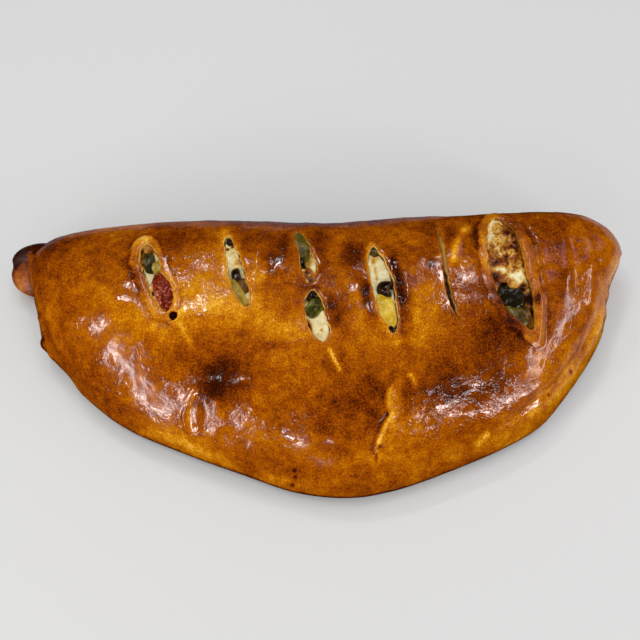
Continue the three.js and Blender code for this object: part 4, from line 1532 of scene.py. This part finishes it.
@dataclass
class Pieces:
    """All the pieces of vegetable, olive and sausage that show in the slits."""

    skin: Skin
    chunks: tuple[Chunk, ...] = (
        # name, kind, place, depth, turn, tilt, roll, size, paleness, boxiness, wrinkle
        Chunk("slit_1_pepper_dark", Filling.DARK_PEPPER, (-81.3, 33), 4.6, 105, 0, 10, (12, 5.8, 4.5), 0.16),
        Chunk("slit_1_pepper_pale", Filling.PALE_PEPPER, (-76.4, 29.5), 4.6, 110, 0, -12, (9, 5.5, 4), 0.1),
        Chunk("slit_1_sausage", Filling.SAUSAGE, (-71.9, 16.8), 3.2, 111, 0, 0, (22, 10.2, 7), 0.0, 0.8, 0.4),
        Chunk("slit_2_pepper_pale", Filling.PALE_PEPPER, (-37, 14), 2.8, 116, 0, -20, (16.5, 6, 4.6), -0.1),
        Chunk("slit_2_pepper_brown", Filling.BROWN_PEPPER, (-34.2, 18), 3.4, 112, 0, 12, (8, 4.4, 4)),
        Chunk("slit_3_pepper_upper", Filling.DARK_PEPPER, (-7.4, 40), 3.4, 106, 0, 10, (17.5, 6.6, 4.4),
              0.46),
        Chunk("slit_3_pepper_lower", Filling.GREEN_PEPPER, (-1.2, 6.6), 3.2, 52, 0, 10, (9.8, 7, 4.8)),
        Chunk("slit_4_pepper_tip", Filling.DARK_PEPPER, (27.5, 37.6), 3.4, 118, 0, 0, (6.5, 4.4, 4), 0.2),
        Chunk("slit_4_pepper_strip", Filling.YELLOW_PEPPER, (31.8, 5.4), 3.4, 99, 0, 6, (18, 8.6, 5)),
        Chunk("slit_6_pepper_upper", Filling.DARK_PEPPER, (92, 16.5), 4.8, 128, 0, -10, (16, 12.5, 4), -0.26,
              0.74, 0.4),
        Chunk("slit_6_pepper_lower", Filling.DARK_PEPPER, (94.6, 7.6), 5, 118, 0, 14, (15, 8, 4.6), 0.36),
        Chunk("slit_6_pepper_strip", Filling.BROWN_PEPPER, (99.8, 6.4), 4.2, 104, 0, 0, (13, 4, 4.4)),
    )
    olives: tuple[OliveSlice, ...] = (
        OliveSlice("slit_2_olive_upper", Filling.OLIVE, (-41.9, 43.2), 4.1, 15, 65, 0, (2.7, 1.0, 3.6)),
        OliveSlice("slit_2_olive_lower", Filling.OLIVE, (-37, 22.8), 5.8, 17, 76, 0, (5.4, 2.2, 4.2)),
        OliveSlice("slit_3_olive_upper", Filling.OLIVE, (-6.4, 30.5), 4.8, 10, 72, 0, (3.6, 1.5, 3)),
        OliveSlice("slit_3_olive_lower", Filling.OLIVE, (-1.9, 12.4), 4, 30, 58, 0, (3.3, 1.1, 4.4)),
        OliveSlice("slit_4_olive_middle", Filling.OLIVE, (32.4, 16.4), 4.4, -20, 60, 0, (4.4, 1.3, 6.4)),
        OliveSlice("slit_4_olive_lower", Filling.OLIVE, (34.2, -2.4), 3.8, 20, 50, 0, (2.8, 0.9, 3.4)),
    )

    def openings(self) -> tuple[Patch, ...]:
        """Marks where the cheese dips for the pieces."""
        return (*(piece.opening(piece.size[0] / 2, piece.size[1] / 2) for piece in self.chunks),
                *(piece.opening(piece.ring[0], piece.ring[0]) for piece in self.olives))

    def build(self) -> None:
        """Builds every piece in order."""
        for piece in (*self.chunks, *self.olives):
            piece.build(self.skin)


# ---- Studio ------------------------------------------------------


@dataclass(frozen=True)
class Softbox:
    """A flat lamp that faces what it hangs over: its direction, size, power and colour.

    A card is one that lies on the floor, faces up, and only shows in the glaze.
    """

    name: str
    azimuth: float
    elevation: float
    size: Pair
    power: float
    colour: str = "ffffff"
    distance: float = 900.0
    roll: float = 0.0
    over: Pair = (0.0, 0.0)
    shines: bool = True
    only_shines: bool = False

    def light(self) -> None:
        """Hangs the lamp and turns it to the food."""
        data = bpy.data.lights.new(self.name, "AREA")
        data.shape = "RECTANGLE"
        data.size, data.size_y = (side * MM for side in self.size)
        data.energy = self.power
        data.color = to_linear(self.colour)[:3]
        lamp = bpy.data.objects.new(self.name, data)
        bpy.context.scene.collection.objects.link(lamp)
        lamp.visible_glossy = self.shines
        lamp.visible_diffuse = not self.only_shines
        lamp.visible_camera = False
        a, e = math.radians(self.azimuth), math.radians(self.elevation)
        out = np.array([math.sin(a) * math.cos(e), -math.cos(a) * math.cos(e), math.sin(e)])
        right = np.cross(-out, (0, 0, 1.0)) if abs(self.elevation) < 89 else np.array([1.0, 0, 0])
        right /= np.linalg.norm(right)
        up = np.cross(right, -out)
        cos, sin = math.cos(math.radians(self.roll)), math.sin(math.radians(self.roll))
        place = (out * self.distance + (*self.over, 0)) * MM
        rows = np.column_stack([right * cos + up * sin, up * cos - right * sin, out, place])
        lamp.matrix_world = Matrix([*rows, (0, 0, 0, 1)])


@dataclass
class Studio:
    """A pale floor, soft lamps and a camera that looks down from the front."""

    floor_side: float = 6000.0
    eye: Triple = (1.5, -108.5, 302.4)
    pitch: float = 23.5
    lens: float = 33.75
    sky: str = "f4f4f6"
    sky_power: float = 0.44
    lamps: tuple[Softbox, ...] = (
        # name, azimuth, elevation, size, power, colour
        Softbox("overhead", 180, 76, (1500, 1500), 8.0, distance=1500, shines=False),
        Softbox("left_front", -53, 16, (700, 26), 2.9, "fff4f2", roll=-45),
        Softbox("right_front", 50, 22, (480, 24), 1.5, "fff4f2", roll=-52),
        Softbox("right_sheen", 80, 24, (560, 70), 1.2, "fff4f2"),
        Softbox("window", 122, 34, (70, 460), 0.2, "d6c6ff"),
        Softbox("card_behind", 180, -90, (300, 200), 0.035, "f2ecfa", over=(-70, 185),
                distance=-2, only_shines=True),
        Softbox("card_right", 90, -90, (220, 300), 0.09, "fff0ea", over=(285, 20),
                distance=-2, only_shines=True),
        Softbox("left_middle", -38, 22, (20, 420), 0.9, "fff4f2"),
        Softbox("front", -8, 28, (30, 30), 0.4),
        Softbox("ceiling", -160, 52, (260, 40), 2.2, distance=1500),
        Softbox("ceiling_right", 140, 62, (40, 300), 1.4, distance=1500),
        Softbox("ceiling_left", -118, 60, (300, 40), 2.0, distance=1500, roll=30),
    )

    def build(self) -> None:
        """Builds the floor, the lamps, the sky and the camera."""
        floor = add_piece(bpy.ops.mesh.primitive_grid_add, x_subdivisions=4, y_subdivisions=4,
                          size=self.floor_side * MM)
        floor.name = "floor"
        floor.data.materials.append(PaleTabletop().make())
        floor.visible_glossy = False
        for lamp in self.lamps:
            lamp.light()
        world = bpy.data.worlds.new("soft_sky")
        world.use_nodes = True
        background = world.node_tree.nodes["Background"]
        plug(world.node_tree, background, {"Color": to_linear(self.sky), "Strength": self.sky_power})
        world.cycles_visibility.glossy = False
        bpy.context.scene.world = world
        camera = bpy.data.cameras.new("camera")
        camera.lens = self.lens
        camera.sensor_width = 36.0
        camera.clip_start = 0.01
        stand = bpy.data.objects.new("camera", camera)
        stand.location = [side * MM for side in self.eye]
        stand.rotation_euler = (math.radians(self.pitch), 0, 0)
        bpy.context.scene.collection.objects.link(stand)
        bpy.context.scene.camera = stand
        bpy.context.scene.view_settings.view_transform = "Standard"
        LOG.info("studio: %d lamps", len(self.lamps))


def main() -> None:
    """Builds the calzone and its studio."""
    logging.basicConfig(level=logging.INFO, format="%(name)s %(message)s")
    form = HalfMoon()
    plain = Crust(form).build()
    pieces = Pieces(plain)
    Cheese(form, plain).build(pieces.openings())
    pieces.build()
    Studio().build()


if __name__ == "__main__":
    main()
